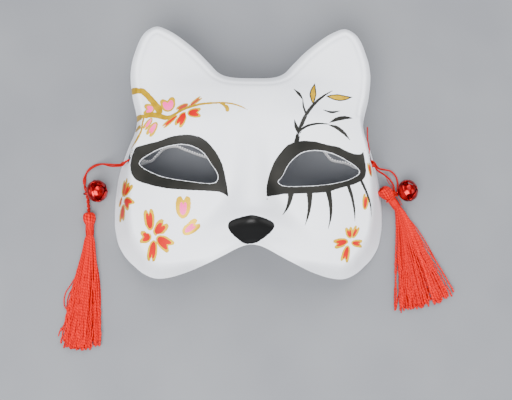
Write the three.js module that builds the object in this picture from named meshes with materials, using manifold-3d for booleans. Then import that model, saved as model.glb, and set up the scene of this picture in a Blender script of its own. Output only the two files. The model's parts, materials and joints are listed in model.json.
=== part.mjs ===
// Half-face fox mask of thin moulded plastic, lying face up, with its head strap, cords, bells and tassels.
// Lengths are in millimetres. +X is the right of the face as the camera sees it, +Y points to the ears
// and +Z out of the face. z = 0 is the surface that the rims of the two side walls rest on.

import * as THREE from 'three';
import { mergeVertices } from 'three/addons/utils/BufferGeometryUtils.js';
import Module from 'manifold-3d';

const wasm = await Module();
wasm.setup();

// Mask
const WALL = 1.2;
const FOLD_X = 75;
const FOLD_POWER = 2.4;
const GRID = { columns: 38, rows: 29, columnCrowding: 0.55, rowCrowding: 0.45 };
const CURVE_STEPS = 12;
const STRETCH_STEPS = 400;
const SLOPE_STEP = 0.4;
const OPENING_POINTS = 30;
const OPENING_CUT = 90;
const CREASE = { depth: 0.8, inset: 5.5, width: 1.4, startY: 20 };

// The rim's own direction is read a little way in, at this share of the way to the middle
const RIM_PULL = 0.0075;

// Space kept between pieces that touch
const GAP = 0.3;

// Head strap. It stands on edge behind the face, and on its way to the slots it turns flat and gathers
const STRAP = {
  steps: 44,
  open: { x: 66, width: 5, thickness: 1.1 },
  gathered: { x: 75, width: 3.4, thickness: 1.6 },
};

// Cords: a doubled one on the left, and its two strands parted on the right
const DOUBLE_CORD = 2.4;
const SINGLE_CORD = 1.3;
const CORD_SIDES = 8;
const CORD_STEP = 2.5;

// Bells
const BELL = {
  radius: 7.3,
  height: 12.4,
  wall: 0.6,
  squareness: 0.86,
  rows: 4,
  sides: 14,
  seam: 0.35,
  slit: 1.3,
  hole: 2.3,
  holeSides: 10,
  holeAt: { x: 6, y: -1.4 },
  holeFrom: 3,
  eyelet: 2.15,
  eyeletRise: 1.7,
  eyeletSides: 12,
  wire: 0.5,
  wireSides: 6,
};

// Tassels
const TASSEL_FLUTES = 8;
const TASSEL_SIDES = 24;
const BINDING = { thread: 0.7, inset: 0.5, sides: 16 };

const COLOURS = {
  plastic: 0xe9e9ec,
  elastic: 0xdcdcda,
  red: 0xf0402a,
  bell: 0x9a0f18,
};

// Middle line of the face from below the mouth to the ears: [y, z]
const CENTRE_LINE = [
  [-86, 41], [-64, 47], [-45, 52], [-25, 55.5], [0, 58], [20, 57], [34, 52.5], [45, 47], [60, 42.5], [84, 41],
];

// The same at the fold between the front and the side walls
const FOLD_LINE = [
  [-86, 23], [-70, 28], [-50, 34], [-25, 37.5], [0, 39], [20, 41], [40, 42], [60, 42], [84, 40.5],
];

// Muzzle above that surface, and half its width
const MUZZLE_HEIGHT = [
  [-86, 3], [-68, 5], [-63, 7.5], [-58, 12], [-54, 14.5], [-49, 14.5], [-40, 12], [-28, 8], [-14, 4],
  [0, 1.5], [14, 0],
];
const MUZZLE_WIDTH = [[-86, 56], [-66, 46], [-54, 37], [-45, 28], [-33, 18], [-15, 13], [0, 11], [14, 11]];

// Soft swellings and hollows on both halves: brow, eye socket, cheek and nose
const SWELLINGS = [
  { x: 40, y: 14, rx: 22, ry: 9, z: 1.8 },
  { x: 45, y: -7, rx: 24, ry: 12, z: -2.6 },
  { x: 52, y: -40, rx: 22, ry: 18, z: 1.5 },
  { x: 0, y: -50.5, rx: 12, ry: 6.5, z: 4.5 },
];

// Right half of the outline, from the middle of the forehead round the ear and the side to the mouth.
// A point with drop lies that far below the face, and one with z at that height. band is how wide the
// edge's roll or wall is, and straight is the share of it that is flat.
const HALF_OUTLINE = [
  { x: 0, y: 44.7, drop: 4.5, band: 6, straight: 0.1 },
  { x: 13, y: 45.3, drop: 4.5, band: 6, straight: 0.1 },
  { x: 20.8, y: 48.6, drop: 5, band: 6, straight: 0.1 },
  { x: 27.6, y: 56.2, drop: 5, band: 6, straight: 0.1 },
  { x: 35.8, y: 65, drop: 5, band: 6, straight: 0.1 },
  { x: 46.5, y: 73.8, drop: 5, band: 6, straight: 0.1 },
  { x: 54, y: 78.5, drop: 5, band: 6, straight: 0.1 },
  { x: 61.3, y: 81, drop: 5, band: 6, straight: 0.1 },
  { x: 67.6, y: 78, drop: 5, band: 6, straight: 0.1 },
  { x: 71.4, y: 72.8, drop: 5, band: 6, straight: 0.1 },
  { x: 74.5, y: 65, drop: 6, band: 6, straight: 0.1 },
  { x: 76.7, y: 56.5, drop: 6, band: 6, straight: 0.1 },
  { x: 77.6, y: 47, drop: 7, band: 6, straight: 0.1 },
  { x: 76.2, y: 34, drop: 8, band: 5, straight: 0.1 },
  { x: 73.9, y: 24.5, drop: 9, band: 5, straight: 0.2 },
  { x: 73.4, y: 18.4, z: 28, band: 5, straight: 0.3 },
  { x: 75.2, y: 12.4, z: 23.5, band: 6, straight: 0.5 },
  { x: 78.9, y: 6.3, z: 16.5, band: 8, straight: 0.6 },
  { x: 82.8, y: 0, z: 7, band: 10, straight: 0.6 },
  { x: 85.8, y: -7, z: 0.8, band: 12, straight: 0.6 },
  { x: 87.4, y: -14, z: 0, band: 13, straight: 0.6 },
  { x: 88.8, y: -27, z: 0, band: 14, straight: 0.6 },
  { x: 89, y: -41, z: 0, band: 14.5, straight: 0.6 },
  { x: 88.2, y: -49, z: 0, band: 14.5, straight: 0.6 },
  { x: 85.8, y: -58, z: 2, band: 14, straight: 0.6 },
  { x: 81, y: -66, z: 5, band: 13.5, straight: 0.5 },
  { x: 75.2, y: -72, z: 8.5, band: 12, straight: 0.5 },
  { x: 68.5, y: -77.5, z: 12, band: 10.5, straight: 0.4 },
  { x: 60.5, y: -80.8, z: 15, band: 9, straight: 0.4 },
  { x: 51, y: -80.4, z: 18.5, band: 8, straight: 0.3 },
  { x: 39, y: -77.4, z: 26, band: 6, straight: 0.2 },
  { x: 27.5, y: -74, drop: 3.2, band: 4, straight: 0.1 },
  { x: 18, y: -69.8, drop: 1.6, band: 3, straight: 0.1 },
  { x: 10.5, y: -66.2, drop: 1.2, band: 3, straight: 0.1 },
  { x: 5, y: -64.1, drop: 1, band: 3, straight: 0.1 },
  { x: 0, y: -63.4, drop: 1, band: 3, straight: 0.1 },
];
const EAR_TIP = HALF_OUTLINE.findIndex((point) => point.x === 61.3);
const HEEL = HALF_OUTLINE.findIndex((point) => point.x === 60.5);

// Eye openings, cut by hand and so not quite alike
const LEFT_EYE = [
  [-70.3, -10.6], [-61.2, -4.3], [-51.1, -1.4], [-41.1, -1.2], [-31.6, -5.4], [-25.2, -13.9], [-21, -21.5],
  [-22.4, -25.3], [-40.8, -24], [-58.9, -19.1],
];
const RIGHT_EYE = [
  [16, -25], [18.4, -21.8], [23.3, -13], [31.7, -5.9], [43.4, -4.1], [56.8, -7.4], [68.4, -15.2],
  [62.9, -20.2], [49.2, -24.8], [30.6, -27.2], [18.5, -27],
];

// Slot for the strap and the cord in the right side wall, just outside the fold. The left one mirrors it
const SLOT = [
  [75.6, 0.1], [77, -0.8], [78.1, -2.9], [78.8, -5.3], [79.2, -7.4], [78.6, -8.5], [77.2, -7.8], [76.2, -5.8],
  [75.5, -3.6], [75.1, -1.3],
];

// Strap from slot to slot, slack behind the eyes
const STRAP_ROUTE = [
  [-77.4, -2.9, 30.4], [-76.2, -2.9, 29.9], [-74.6, -3, 28.4], [-72.9, -4, 25.6], [-71, -6, 22.2],
  [-64.5, -4.8, 20], [-60.5, -1, 20], [-56, 3.6, 19.5], [-48.6, 5.3, 19], [-42, 3, 18.5], [-29.5, -1.2, 17.5],
  [-15, -4, 16.5], [0, 0, 16], [16, 9, 16], [31, 13.5, 17], [42, 10.5, 18], [48.5, 3.2, 19], [53.5, -3, 20],
  [62, -5.2, 21], [69.6, -7.6, 21.4], [72.9, -4.6, 25], [74.6, -3.1, 28.4], [76.2, -2.9, 29.9],
  [77.4, -2.9, 30.4],
];

const CORDS = {
  cord_left: {
    diameter: DOUBLE_CORD,
    route: [
      [-75.6, -6.1, 26.2], [-78, -6.2, 28.2], [-80.9, -7.5, 27.4], [-83.5, -7.6, 20.4], [-88, -6.4, 12.6],
      [-93, -5, 7], [-98.7, -3.6, 3], [-104, -4.9, 1.4], [-107.9, -8.4, 1.4], [-109.6, -13, 1.4],
      [-109.4, -17.5, 2], [-108.3, -21, 3.6], [-107.4, -24.6, 4], [-106.7, -29.5, 2.6], [-105.9, -35.8, 3.2],
    ],
  },
  cord_right_upper: {
    diameter: SINGLE_CORD,
    route: [
      [75.6, -5.1, 26.6], [78, -5.2, 28.2], [80, -6.3, 28], [82.6, -7.8, 22.6], [86, -7.4, 13.8],
      [91, -6.3, 5], [96, -6.8, 1.6], [99.3, -10.4, 1], [100.2, -15, 1.3], [99.9, -19.4, 2.1],
      [99.4, -22.2, 3.1], [98.4, -23.5, 5], [97.4, -24.3, 6.8], [96.2, -25.2, 8.2], [94.4, -26.5, 8.7],
      [92.5, -27.9, 7.6], [91.6, -28.4, 5.8],
    ],
  },
  cord_right_lower: {
    diameter: SINGLE_CORD,
    route: [
      [75.6, -6.8, 26.6], [78, -6.9, 28], [80, -8.3, 27.8], [82.5, -9.5, 22], [86, -9.3, 13],
      [90.9, -9.9, 5], [94.6, -12.4, 2.4], [97, -16.2, 2.5], [97.1, -20, 4.5], [97.2, -22.1, 6.3],
    ],
  },
};

const BELLS = {
  left: { centre: [-100.3, -22.7, 7.6], eyeletWay: [-0.88, -0.14, -0.42], cordWay: [0.2, -1, 0], roll: 0.51 },
  right: { centre: [105.8, -20.8, 7.6], eyeletWay: [-0.8, -0.18, -0.57], cordWay: [0, -1, 0.3], roll: 0.35 },
};

// Stations along each tassel: centre, half width in plan, half thickness, and depth of the flutes.
// The two stations marked neck carry the binding.
const TASSELS = {
  left: [
    { x: -105.8, y: -37.4, z: 3.3, wide: 1.4, thick: 1.3 },
    { x: -105.6, y: -38.6, z: 3.3, wide: 3, thick: 2.5 },
    { x: -105.4, y: -40.8, z: 3.3, wide: 3.7, thick: 3.1 },
    { x: -105.2, y: -43, z: 3.3, wide: 3, thick: 2.7 },
    { x: -105.1, y: -44.4, z: 3.3, wide: 2.1, thick: 2.1, neck: true },
    { x: -104.9, y: -51, z: 3.3, wide: 2.1, thick: 2.1, neck: true },
    { x: -104.9, y: -53, z: 3.2, wide: 3, thick: 2.6, flute: 0.06 },
    { x: -105.1, y: -62, z: 3.2, wide: 4.6, thick: 2.9, flute: 0.08 },
    { x: -106.2, y: -80, z: 3.1, wide: 7.8, thick: 2.8, flute: 0.09 },
    { x: -107.6, y: -102, z: 2.8, wide: 10.8, thick: 2.5, flute: 0.09 },
    { x: -109, y: -124, z: 2.4, wide: 12.8, thick: 2.1, flute: 0.09 },
  ],
  right: [
    { x: 88, y: -20.5, z: 7.9, wide: 1.6, thick: 1.4 },
    { x: 89.1, y: -21.2, z: 7.6, wide: 3.3, thick: 2.6 },
    { x: 91.6, y: -22.7, z: 6.9, wide: 4.1, thick: 3.1 },
    { x: 94, y: -24.8, z: 5.7, wide: 3.4, thick: 2.8 },
    { x: 95.3, y: -26.5, z: 4.5, wide: 2.2, thick: 2.1, neck: true },
    { x: 99, y: -31.4, z: 3.3, wide: 2.2, thick: 2.1, neck: true },
    { x: 100.2, y: -33.8, z: 3.2, wide: 3, thick: 2.6, flute: 0.06 },
    { x: 103.2, y: -43, z: 3.2, wide: 5.6, thick: 2.9, flute: 0.08 },
    { x: 107.6, y: -61, z: 3, wide: 10.2, thick: 2.7, flute: 0.09 },
    { x: 112.2, y: -79, z: 2.7, wide: 14.8, thick: 2.4, flute: 0.09 },
    { x: 116.2, y: -96, z: 2.4, wide: 19, thick: 2.1, flute: 0.09 },
  ],
};

/** Smooth value at `at` through [position, value] points. */
function smoothLine(points, at) {
  const last = points.length - 1;
  const where = THREE.MathUtils.clamp(at, points[0][0], points[last][0]);
  let i = 0;
  while (i < last - 1 && points[i + 1][0] < where) i += 1;
  const step = points[i + 1][0] - points[i][0];
  const t = (where - points[i][0]) / step;
  const rise = points[i + 1][1] - points[i][1];
  const startSlope = slopeAt(points, i) * step;
  const endSlope = slopeAt(points, i + 1) * step;
  const cubic = startSlope + endSlope - 2 * rise;
  const square = 3 * rise - 2 * startSlope - endSlope;
  return points[i][1] + t * (startSlope + t * (square + t * cubic));
}

/** Slope of the line at point i, from the stretches on both sides of it. */
function slopeAt(points, i) {
  const before = Math.max(i - 1, 0);
  const after = Math.min(i + 1, points.length - 1);
  const slope = (a, b) => (points[b][1] - points[a][1]) / (points[b][0] - points[a][0]);
  if (before === i || after === i) return slope(before, after);
  const stepBefore = points[i][0] - points[before][0];
  const stepAfter = points[after][0] - points[i][0];
  return (slope(before, i) * stepAfter + slope(i, after) * stepBefore) / (stepBefore + stepAfter);
}

/** Height of the front of the face, before its edge is rolled down. */
function faceHeight(x, y) {
  const side = Math.abs(x);
  const across = (side / FOLD_X) ** FOLD_POWER;
  let z = smoothLine(CENTRE_LINE, y) * (1 - across) + smoothLine(FOLD_LINE, y) * across;
  const t = Math.min(side / smoothLine(MUZZLE_WIDTH, y), 1);
  z += smoothLine(MUZZLE_HEIGHT, y) * (1 - t * t) ** 2;
  for (const swelling of SWELLINGS) {
    const dx = (side - swelling.x) / swelling.rx;
    const dy = (y - swelling.y) / swelling.ry;
    z += swelling.z * Math.exp(-dx * dx - dy * dy);
  }
  return z;
}

/** Closed outline: a curve of (x, y, rim height), and one of (band, straight) with the same parameter. */
function buildOutline() {
  const right = HALF_OUTLINE.map((point) => {
    const z = point.z ?? faceHeight(point.x, point.y) - point.drop;
    return { ...point, z };
  });
  const left = right.slice(1, -1).map((point) => ({ ...point, x: -point.x }));
  const all = [...right, ...left.reverse()];
  const rim = all.map((point) => new THREE.Vector3(point.x, point.y, point.z));
  const edge = all.map((point) => new THREE.Vector3(point.band, point.straight, 0));
  return {
    count: all.length,
    rim: new THREE.CatmullRomCurve3(rim, true, 'catmullrom', 0.5),
    edge: new THREE.CatmullRomCurve3(edge, true, 'catmullrom', 0.5),
  };
}

const outline = buildOutline();

const edgeSamples = Array.from({ length: outline.count * CURVE_STEPS + 1 }, (_, i) => {
  const t = i / (outline.count * CURVE_STEPS);
  return { rim: outline.rim.getPoint(t), edge: outline.edge.getPoint(t) };
});

/** Distance from (x, y) to the outline in plan, with the rim height and edge there. */
function nearestEdge(x, y) {
  let best = { distance: Infinity };
  for (let i = 0; i < edgeSamples.length - 1; i += 1) {
    const a = edgeSamples[i].rim;
    const b = edgeSamples[i + 1].rim;
    const dx = b.x - a.x;
    const dy = b.y - a.y;
    const t = THREE.MathUtils.clamp(((x - a.x) * dx + (y - a.y) * dy) / (dx * dx + dy * dy), 0, 1);
    const distance = Math.hypot(x - a.x - dx * t, y - a.y - dy * t);
    if (distance < best.distance) best = { distance, i, t };
  }
  const from = edgeSamples[best.i];
  const to = edgeSamples[best.i + 1];
  return {
    distance: best.distance,
    rimZ: THREE.MathUtils.lerp(from.rim.z, to.rim.z, best.t),
    band: THREE.MathUtils.lerp(from.edge.x, to.edge.x, best.t),
    straight: THREE.MathUtils.lerp(from.edge.y, to.edge.y, best.t),
  };
}

/** Share of the way from rim to face: a flat wall up to `straight`, then a round fold. */
function edgeRise(t, straight) {
  const within = THREE.MathUtils.clamp(t, 0, 1);
  const slope = 2 / (1 + straight);
  if (within < straight) return slope * within;
  return 1 - (slope * (1 - within) ** 2) / (2 * (1 - straight));
}

/** Height of the mask's outer surface. */
function maskHeight(x, y) {
  const edge = nearestEdge(x, y);
  const face = faceHeight(x, y);
  const rise = edgeRise(edge.distance / edge.band, edge.straight);
  const away = (edge.distance - CREASE.inset) / CREASE.width;
  const crease = y > CREASE.startY ? CREASE.depth * Math.exp(-away * away) : 0;
  return edge.rimZ + (face - edge.rimZ) * rise - crease;
}

/** Outward normal of the outer surface. */
function maskNormal(x, y) {
  const slopeX = (maskHeight(x + SLOPE_STEP, y) - maskHeight(x - SLOPE_STEP, y)) / (2 * SLOPE_STEP);
  const slopeY = (maskHeight(x, y + SLOPE_STEP) - maskHeight(x, y - SLOPE_STEP)) / (2 * SLOPE_STEP);
  return new THREE.Vector3(-slopeX, -slopeY, 1).normalize();
}

/** Points at even shares of the outline's length between two of its control points. */
function outlineStretch(from, to, shares) {
  const points = Array.from({ length: STRETCH_STEPS + 1 }, (_, i) => {
    const s = (from + ((to - from) * i) / STRETCH_STEPS) / outline.count;
    return outline.rim.getPoint(((s % 1) + 1) % 1);
  });
  const lengths = [0];
  for (let i = 1; i <= STRETCH_STEPS; i += 1) {
    lengths.push(lengths[i - 1] + points[i].distanceTo(points[i - 1]));
  }
  return shares.map((share) => {
    const target = share * lengths[STRETCH_STEPS];
    let i = 0;
    while (i < STRETCH_STEPS - 1 && lengths[i + 1] < target) i += 1;
    const t = (target - lengths[i]) / (lengths[i + 1] - lengths[i]);
    return points[i].clone().lerp(points[i + 1], THREE.MathUtils.clamp(t, 0, 1));
  });
}

/** Shares from 0 to 1 that crowd towards both ends, where the surface bends most. */
function crowdedShares(count, crowding) {
  return Array.from({ length: count + 1 }, (_, i) => {
    const t = i / count;
    return t - (crowding * Math.sin(2 * Math.PI * t)) / (2 * Math.PI);
  });
}

/** Plan positions of the grid: four stretches of outline, blended across the face. */
function gridPlan() {
  const columns = crowdedShares(GRID.columns, GRID.columnCrowding);
  const rows = crowdedShares(GRID.rows, GRID.rowCrowding);
  const n = outline.count;
  const top = outlineStretch(n - EAR_TIP, n + EAR_TIP, columns);
  const bottom = outlineStretch(n - HEEL, HEEL, columns);
  const right = outlineStretch(HEEL, EAR_TIP, rows);
  const left = outlineStretch(n - HEEL, n - EAR_TIP, rows);
  return rows.map((v, j) => columns.map((u, i) => {
    const blend = (axis) => (1 - v) * bottom[i][axis] + v * top[i][axis] + (1 - u) * left[j][axis]
      + u * right[j][axis] - (1 - u) * (1 - v) * bottom[0][axis] - u * (1 - v) * bottom[GRID.columns][axis]
      - (1 - u) * v * top[0][axis] - u * v * top[GRID.columns][axis];
    const onEdge = i === 0 || j === 0 || i === GRID.columns || j === GRID.rows;
    return { x: blend('x'), y: blend('y'), rimZ: onEdge ? blend('z') : null };
  }));
}

/** Geometry from a list of Vector3 and a list of index triples. */
function geometryFrom(points, triangles) {
  const geometry = new THREE.BufferGeometry();
  const numbers = points.flatMap((p) => [p.x, p.y, p.z]);
  geometry.setAttribute('position', new THREE.Float32BufferAttribute(numbers, 3));
  geometry.setIndex(triangles.flat());
  return geometry;
}

/** Shell of the mask, without its openings. */
function maskBlank() {
  const plan = gridPlan();
  const outer = [];
  const inner = [];
  for (const row of plan) {
    for (const { x, y, rimZ } of row) {
      const z = rimZ === null ? maskHeight(x, y) : Math.max(rimZ, 0);
      const point = new THREE.Vector3(x, y, z);
      const within = rimZ === null ? 1 : 1 - RIM_PULL;
      const normal = maskNormal(x * within, y * within);
      const under = point.clone().addScaledVector(normal, -WALL);
      under.z = Math.max(under.z, 0);
      outer.push(point);
      inner.push(under);
    }
  }
  const width = GRID.columns + 1;
  const total = outer.length;
  const triangles = [];
  const quad = (a, b, c, d) => triangles.push([a, b, c], [a, c, d]);
  for (let j = 0; j < GRID.rows; j += 1) {
    for (let i = 0; i < GRID.columns; i += 1) {
      const a = j * width + i;
      quad(a, a + 1, a + 1 + width, a + width);
      quad(total + a, total + a + width, total + a + 1 + width, total + a + 1);
    }
  }
  const loop = [];
  for (let i = 0; i < GRID.columns; i += 1) loop.push(i);
  for (let j = 0; j < GRID.rows; j += 1) loop.push(j * width + GRID.columns);
  for (let i = GRID.columns; i > 0; i -= 1) loop.push(GRID.rows * width + i);
  for (let j = GRID.rows; j > 0; j -= 1) loop.push(j * width);
  loop.forEach((a, k) => {
    const b = loop[(k + 1) % loop.length];
    quad(b, a, total + a, total + b);
  });
  return geometryFrom([...outer, ...inner], triangles);
}

/** Solid of the cutting library from a closed geometry. */
function toSolid(geometry) {
  const bare = geometry.clone();
  bare.deleteAttribute('normal');
  bare.deleteAttribute('uv');
  const merged = mergeVertices(bare, 1e-4);
  return new wasm.Manifold(new wasm.Mesh({
    numProp: 3,
    vertProperties: new Float32Array(merged.getAttribute('position').array),
    triVerts: new Uint32Array(merged.getIndex().array),
  }));
}

/** Geometry from a solid of the cutting library. */
function fromSolid(solid) {
  const mesh = solid.getMesh();
  const geometry = new THREE.BufferGeometry();
  geometry.setAttribute('position', new THREE.Float32BufferAttribute(mesh.vertProperties, 3));
  geometry.setIndex(new THREE.Uint32BufferAttribute(mesh.triVerts, 1));
  geometry.computeVertexNormals();
  return geometry;
}

/** Upright prism through the whole mask, with a smooth outline through the points. */
function openingPrism(points) {
  const corners = points.map(([x, y]) => new THREE.Vector3(x, y, 0));
  const curve = new THREE.CatmullRomCurve3(corners, true, 'centripetal');
  const sides = curve.getPoints(OPENING_POINTS).slice(0, -1);
  const shape = new THREE.Shape(sides.map((p) => new THREE.Vector2(p.x, p.y)));
  return toSolid(new THREE.ExtrudeGeometry(shape, { depth: OPENING_CUT, bevelEnabled: false, steps: 1 }));
}

/** The moulded shell with its eye openings and its slots. */
function buildMask() {
  const leftSlot = SLOT.map(([x, y]) => [-x, y]);
  let mask = toSolid(maskBlank());
  for (const points of [LEFT_EYE, RIGHT_EYE, leftSlot, SLOT]) mask = mask.subtract(openingPrism(points));
  return fromSolid(mask);
}

/** Curve through [x, y, z] points. */
function curveThrough(points) {
  return new THREE.CatmullRomCurve3(points.map((p) => new THREE.Vector3(...p)), false, 'centripetal');
}

/** Solid through a row of rings with equally many points, with flat ends. */
function loft(rings) {
  const sides = rings[0].length;
  const points = rings.flat();
  const triangles = [];
  for (let r = 0; r < rings.length - 1; r += 1) {
    for (let k = 0; k < sides; k += 1) {
      const a = r * sides + k;
      const b = r * sides + ((k + 1) % sides);
      triangles.push([a, b, b + sides], [a, b + sides, a + sides]);
    }
  }
  const centreOf = (ring) => ring.reduce((sum, p) => sum.add(p), new THREE.Vector3()).divideScalar(sides);
  const first = points.push(centreOf(rings[0])) - 1;
  const last = points.push(centreOf(rings[rings.length - 1])) - 1;
  const lastRing = (rings.length - 1) * sides;
  for (let k = 0; k < sides; k += 1) {
    const next = (k + 1) % sides;
    triangles.push([first, next, k], [last, lastRing + k, lastRing + next]);
  }
  return geometryFrom(points, triangles);
}

/** Round cord along a curve. */
function cordTube(points, diameter) {
  const path = curveThrough(points);
  const shape = new THREE.Shape(Array.from({ length: CORD_SIDES }, (_, k) => {
    const angle = (2 * Math.PI * k) / CORD_SIDES;
    return new THREE.Vector2(Math.cos(angle), Math.sin(angle)).multiplyScalar(diameter / 2);
  }));
  const steps = Math.round(path.getLength() / (CORD_STEP * diameter));
  return new THREE.ExtrudeGeometry(shape, { steps, bevelEnabled: false, extrudePath: path });
}

/** Flat strap whose gathered ends lie in the slots. */
function buildStrap() {
  const route = curveThrough(STRAP_ROUTE);
  const { open, gathered } = STRAP;
  const rings = Array.from({ length: STRAP.steps + 1 }, (_, i) => {
    const centre = route.getPointAt(i / STRAP.steps);
    const along = route.getTangentAt(i / STRAP.steps);
    const share = THREE.MathUtils.clamp((Math.abs(centre.x) - open.x) / (gathered.x - open.x), 0, 1);
    const width = THREE.MathUtils.lerp(open.width, gathered.width, share);
    const thickness = THREE.MathUtils.lerp(open.thickness, gathered.thickness, share);
    const upright = new THREE.Vector3(0, share, 1 - share);
    const across = upright.addScaledVector(along, -upright.dot(along)).normalize();
    const through = new THREE.Vector3().crossVectors(along, across);
    return [[1, 1], [-1, 1], [-1, -1], [1, -1]].map(([a, b]) => centre.clone()
      .addScaledVector(across, (a * width) / 2).addScaledVector(through, (b * thickness) / 2));
  });
  return loft(rings);
}

/** Rounded body of a bell about +Y, smaller than the bell by `inset` all round. */
function bellBody(inset) {
  const profile = Array.from({ length: 2 * BELL.rows + 1 }, (_, i) => {
    const angle = (Math.PI * (i - BELL.rows)) / (2 * BELL.rows);
    const rise = Math.sign(angle) * Math.abs(Math.sin(angle)) ** BELL.squareness;
    const seam = i === BELL.rows && inset === 0 ? BELL.seam : 0;
    const radius = Math.cos(angle) ** BELL.squareness * (BELL.radius - inset) + seam;
    return new THREE.Vector2(i % (2 * BELL.rows) === 0 ? 0 : radius, rise * (BELL.height / 2 - inset));
  });
  return toSolid(new THREE.LatheGeometry(profile, BELL.sides));
}

/** Hollow bell with crossed slits that end in round holes, and a wire eyelet opposite them. */
function buildBell(placing) {
  let bell = bellBody(0).subtract(bellBody(BELL.wall));
  const low = -BELL.height;
  for (let quarter = 0; quarter < 4; quarter += 1) {
    const slit = new THREE.BoxGeometry(BELL.holeAt.x, -low + BELL.holeAt.y, BELL.slit);
    slit.translate(BELL.holeAt.x / 2, (low + BELL.holeAt.y) / 2, 0);
    const hole = new THREE.CylinderGeometry(BELL.hole, BELL.hole, BELL.radius, BELL.holeSides);
    hole.translate(0, BELL.holeFrom + BELL.radius / 2, 0);
    hole.rotateZ(-Math.atan2(BELL.holeAt.x, BELL.holeAt.y));
    for (const cutter of [slit, hole]) {
      cutter.rotateY((quarter * Math.PI) / 2 + placing.roll);
      bell = bell.subtract(toSolid(cutter));
    }
  }
  const eyelet = new THREE.TorusGeometry(BELL.eyelet, BELL.wire, BELL.wireSides, BELL.eyeletSides);
  eyelet.rotateY(Math.PI / 2);
  eyelet.translate(0, BELL.height / 2 + BELL.eyeletRise, 0);
  const ring = toSolid(eyelet).subtract(bellBody(BELL.wall / 2));
  const geometry = fromSolid(bell.add(ring));
  const up = new THREE.Vector3(...placing.eyeletWay).normalize();
  const through = new THREE.Vector3(...placing.cordWay);
  through.addScaledVector(up, -through.dot(up)).normalize();
  const third = new THREE.Vector3().crossVectors(through, up);
  geometry.applyMatrix4(new THREE.Matrix4().makeBasis(through, up, third));
  geometry.translate(...placing.centre);
  return geometry;
}

/** Fluted rings across a tassel's stations, widened by `extra`. */
function tasselRings(stations, sides, extra = 0) {
  return stations.map((station, i) => {
    const before = stations[Math.max(i - 1, 0)];
    const after = stations[Math.min(i + 1, stations.length - 1)];
    const along = new THREE.Vector2(after.x - before.x, after.y - before.y).normalize();
    return Array.from({ length: sides }, (_, k) => {
      const angle = (2 * Math.PI * k) / sides;
      const flute = 1 + (station.flute ?? 0) * Math.cos(TASSEL_FLUTES * angle);
      const across = (station.wide * flute + extra) * Math.cos(angle);
      const up = (station.thick * flute + extra) * Math.sin(angle);
      return new THREE.Vector3(station.x - along.y * across, station.y + along.x * across, station.z + up);
    });
  });
}

/** Thread wound round a tassel's neck, as one sleeve just clear of it. */
function buildBinding(stations) {
  const neck = stations.filter((station) => station.neck);
  const length = Math.hypot(neck[1].x - neck[0].x, neck[1].y - neck[0].y);
  const inset = BINDING.inset / length;
  const mix = (share) => ({
    ...neck[0],
    x: THREE.MathUtils.lerp(neck[0].x, neck[1].x, share),
    y: THREE.MathUtils.lerp(neck[0].y, neck[1].y, share),
    z: THREE.MathUtils.lerp(neck[0].z, neck[1].z, share),
  });
  const ends = [mix(inset), mix(1 - inset)];
  const outer = loft(tasselRings(ends, BINDING.sides, GAP + BINDING.thread));
  const past = [mix(-inset), mix(1 + inset)];
  const bore = loft(tasselRings(past, BINDING.sides, GAP));
  return fromSolid(toSolid(outer).subtract(toSolid(bore)));
}

/** Named mesh with its material. */
function piece(name, geometry, colour, roughness, metalness = 0) {
  const material = new THREE.MeshStandardMaterial({ color: colour, roughness, metalness });
  const mesh = new THREE.Mesh(geometry, material);
  mesh.name = name;
  return mesh;
}

const part = new THREE.Group();
part.add(piece('mask_shell', buildMask(), COLOURS.plastic, 0.45));
part.add(piece('elastic_strap', buildStrap(), COLOURS.elastic, 0.9));
for (const [name, { route, diameter }] of Object.entries(CORDS)) {
  part.add(piece(name, cordTube(route, diameter), COLOURS.red, 0.7));
}
for (const [side, placing] of Object.entries(BELLS)) {
  part.add(piece(`bell_${side}`, buildBell(placing), COLOURS.bell, 0.25, 0.9));
}
for (const [side, stations] of Object.entries(TASSELS)) {
  part.add(piece(`tassel_${side}`, loft(tasselRings(stations, TASSEL_SIDES)), COLOURS.red, 0.75));
  part.add(piece(`tassel_binding_${side}`, buildBinding(stations), COLOURS.red, 0.6));
}

export default part;
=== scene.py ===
"""Looks of a painted half-face fox mask that lies face up, with its head strap, cords, bells and tassels.

Lengths are millimetres in the part's own frame and become metres where a mesh is made. +X is the right of the
face as the camera sees it, +Y points to the ears, and z = 0 is the surface that the mask's rims rest on.
"""

import json
import logging
import math
from dataclasses import dataclass
from enum import Enum
from typing import Optional, Sequence, Union

import bmesh
import bpy
import numpy as np
from mathutils import Matrix

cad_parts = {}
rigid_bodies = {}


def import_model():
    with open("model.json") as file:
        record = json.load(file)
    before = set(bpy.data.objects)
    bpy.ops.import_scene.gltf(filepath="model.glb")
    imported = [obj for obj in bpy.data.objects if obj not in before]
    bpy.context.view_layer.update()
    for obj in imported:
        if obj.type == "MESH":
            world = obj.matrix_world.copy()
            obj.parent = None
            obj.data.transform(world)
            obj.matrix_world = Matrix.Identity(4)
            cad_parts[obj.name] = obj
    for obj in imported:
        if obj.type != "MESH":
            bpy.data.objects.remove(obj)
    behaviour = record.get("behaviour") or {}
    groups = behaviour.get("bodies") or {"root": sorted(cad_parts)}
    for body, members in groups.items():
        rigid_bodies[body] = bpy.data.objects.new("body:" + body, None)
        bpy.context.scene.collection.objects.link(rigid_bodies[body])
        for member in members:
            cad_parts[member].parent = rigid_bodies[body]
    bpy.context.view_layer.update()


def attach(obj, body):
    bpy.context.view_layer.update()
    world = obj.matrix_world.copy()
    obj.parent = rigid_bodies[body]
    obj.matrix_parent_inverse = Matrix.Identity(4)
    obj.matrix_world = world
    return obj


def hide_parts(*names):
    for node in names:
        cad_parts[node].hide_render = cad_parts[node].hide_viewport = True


MM = 0.001
BODY = "root"
SEED = 11
CHUNK = 4096
YARN_GAP = 101.37
NO_KNOT = -9.0
UP = np.array([0.0, 0.0, 1.0])

LOG = logging.getLogger("fox_mask")

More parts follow.
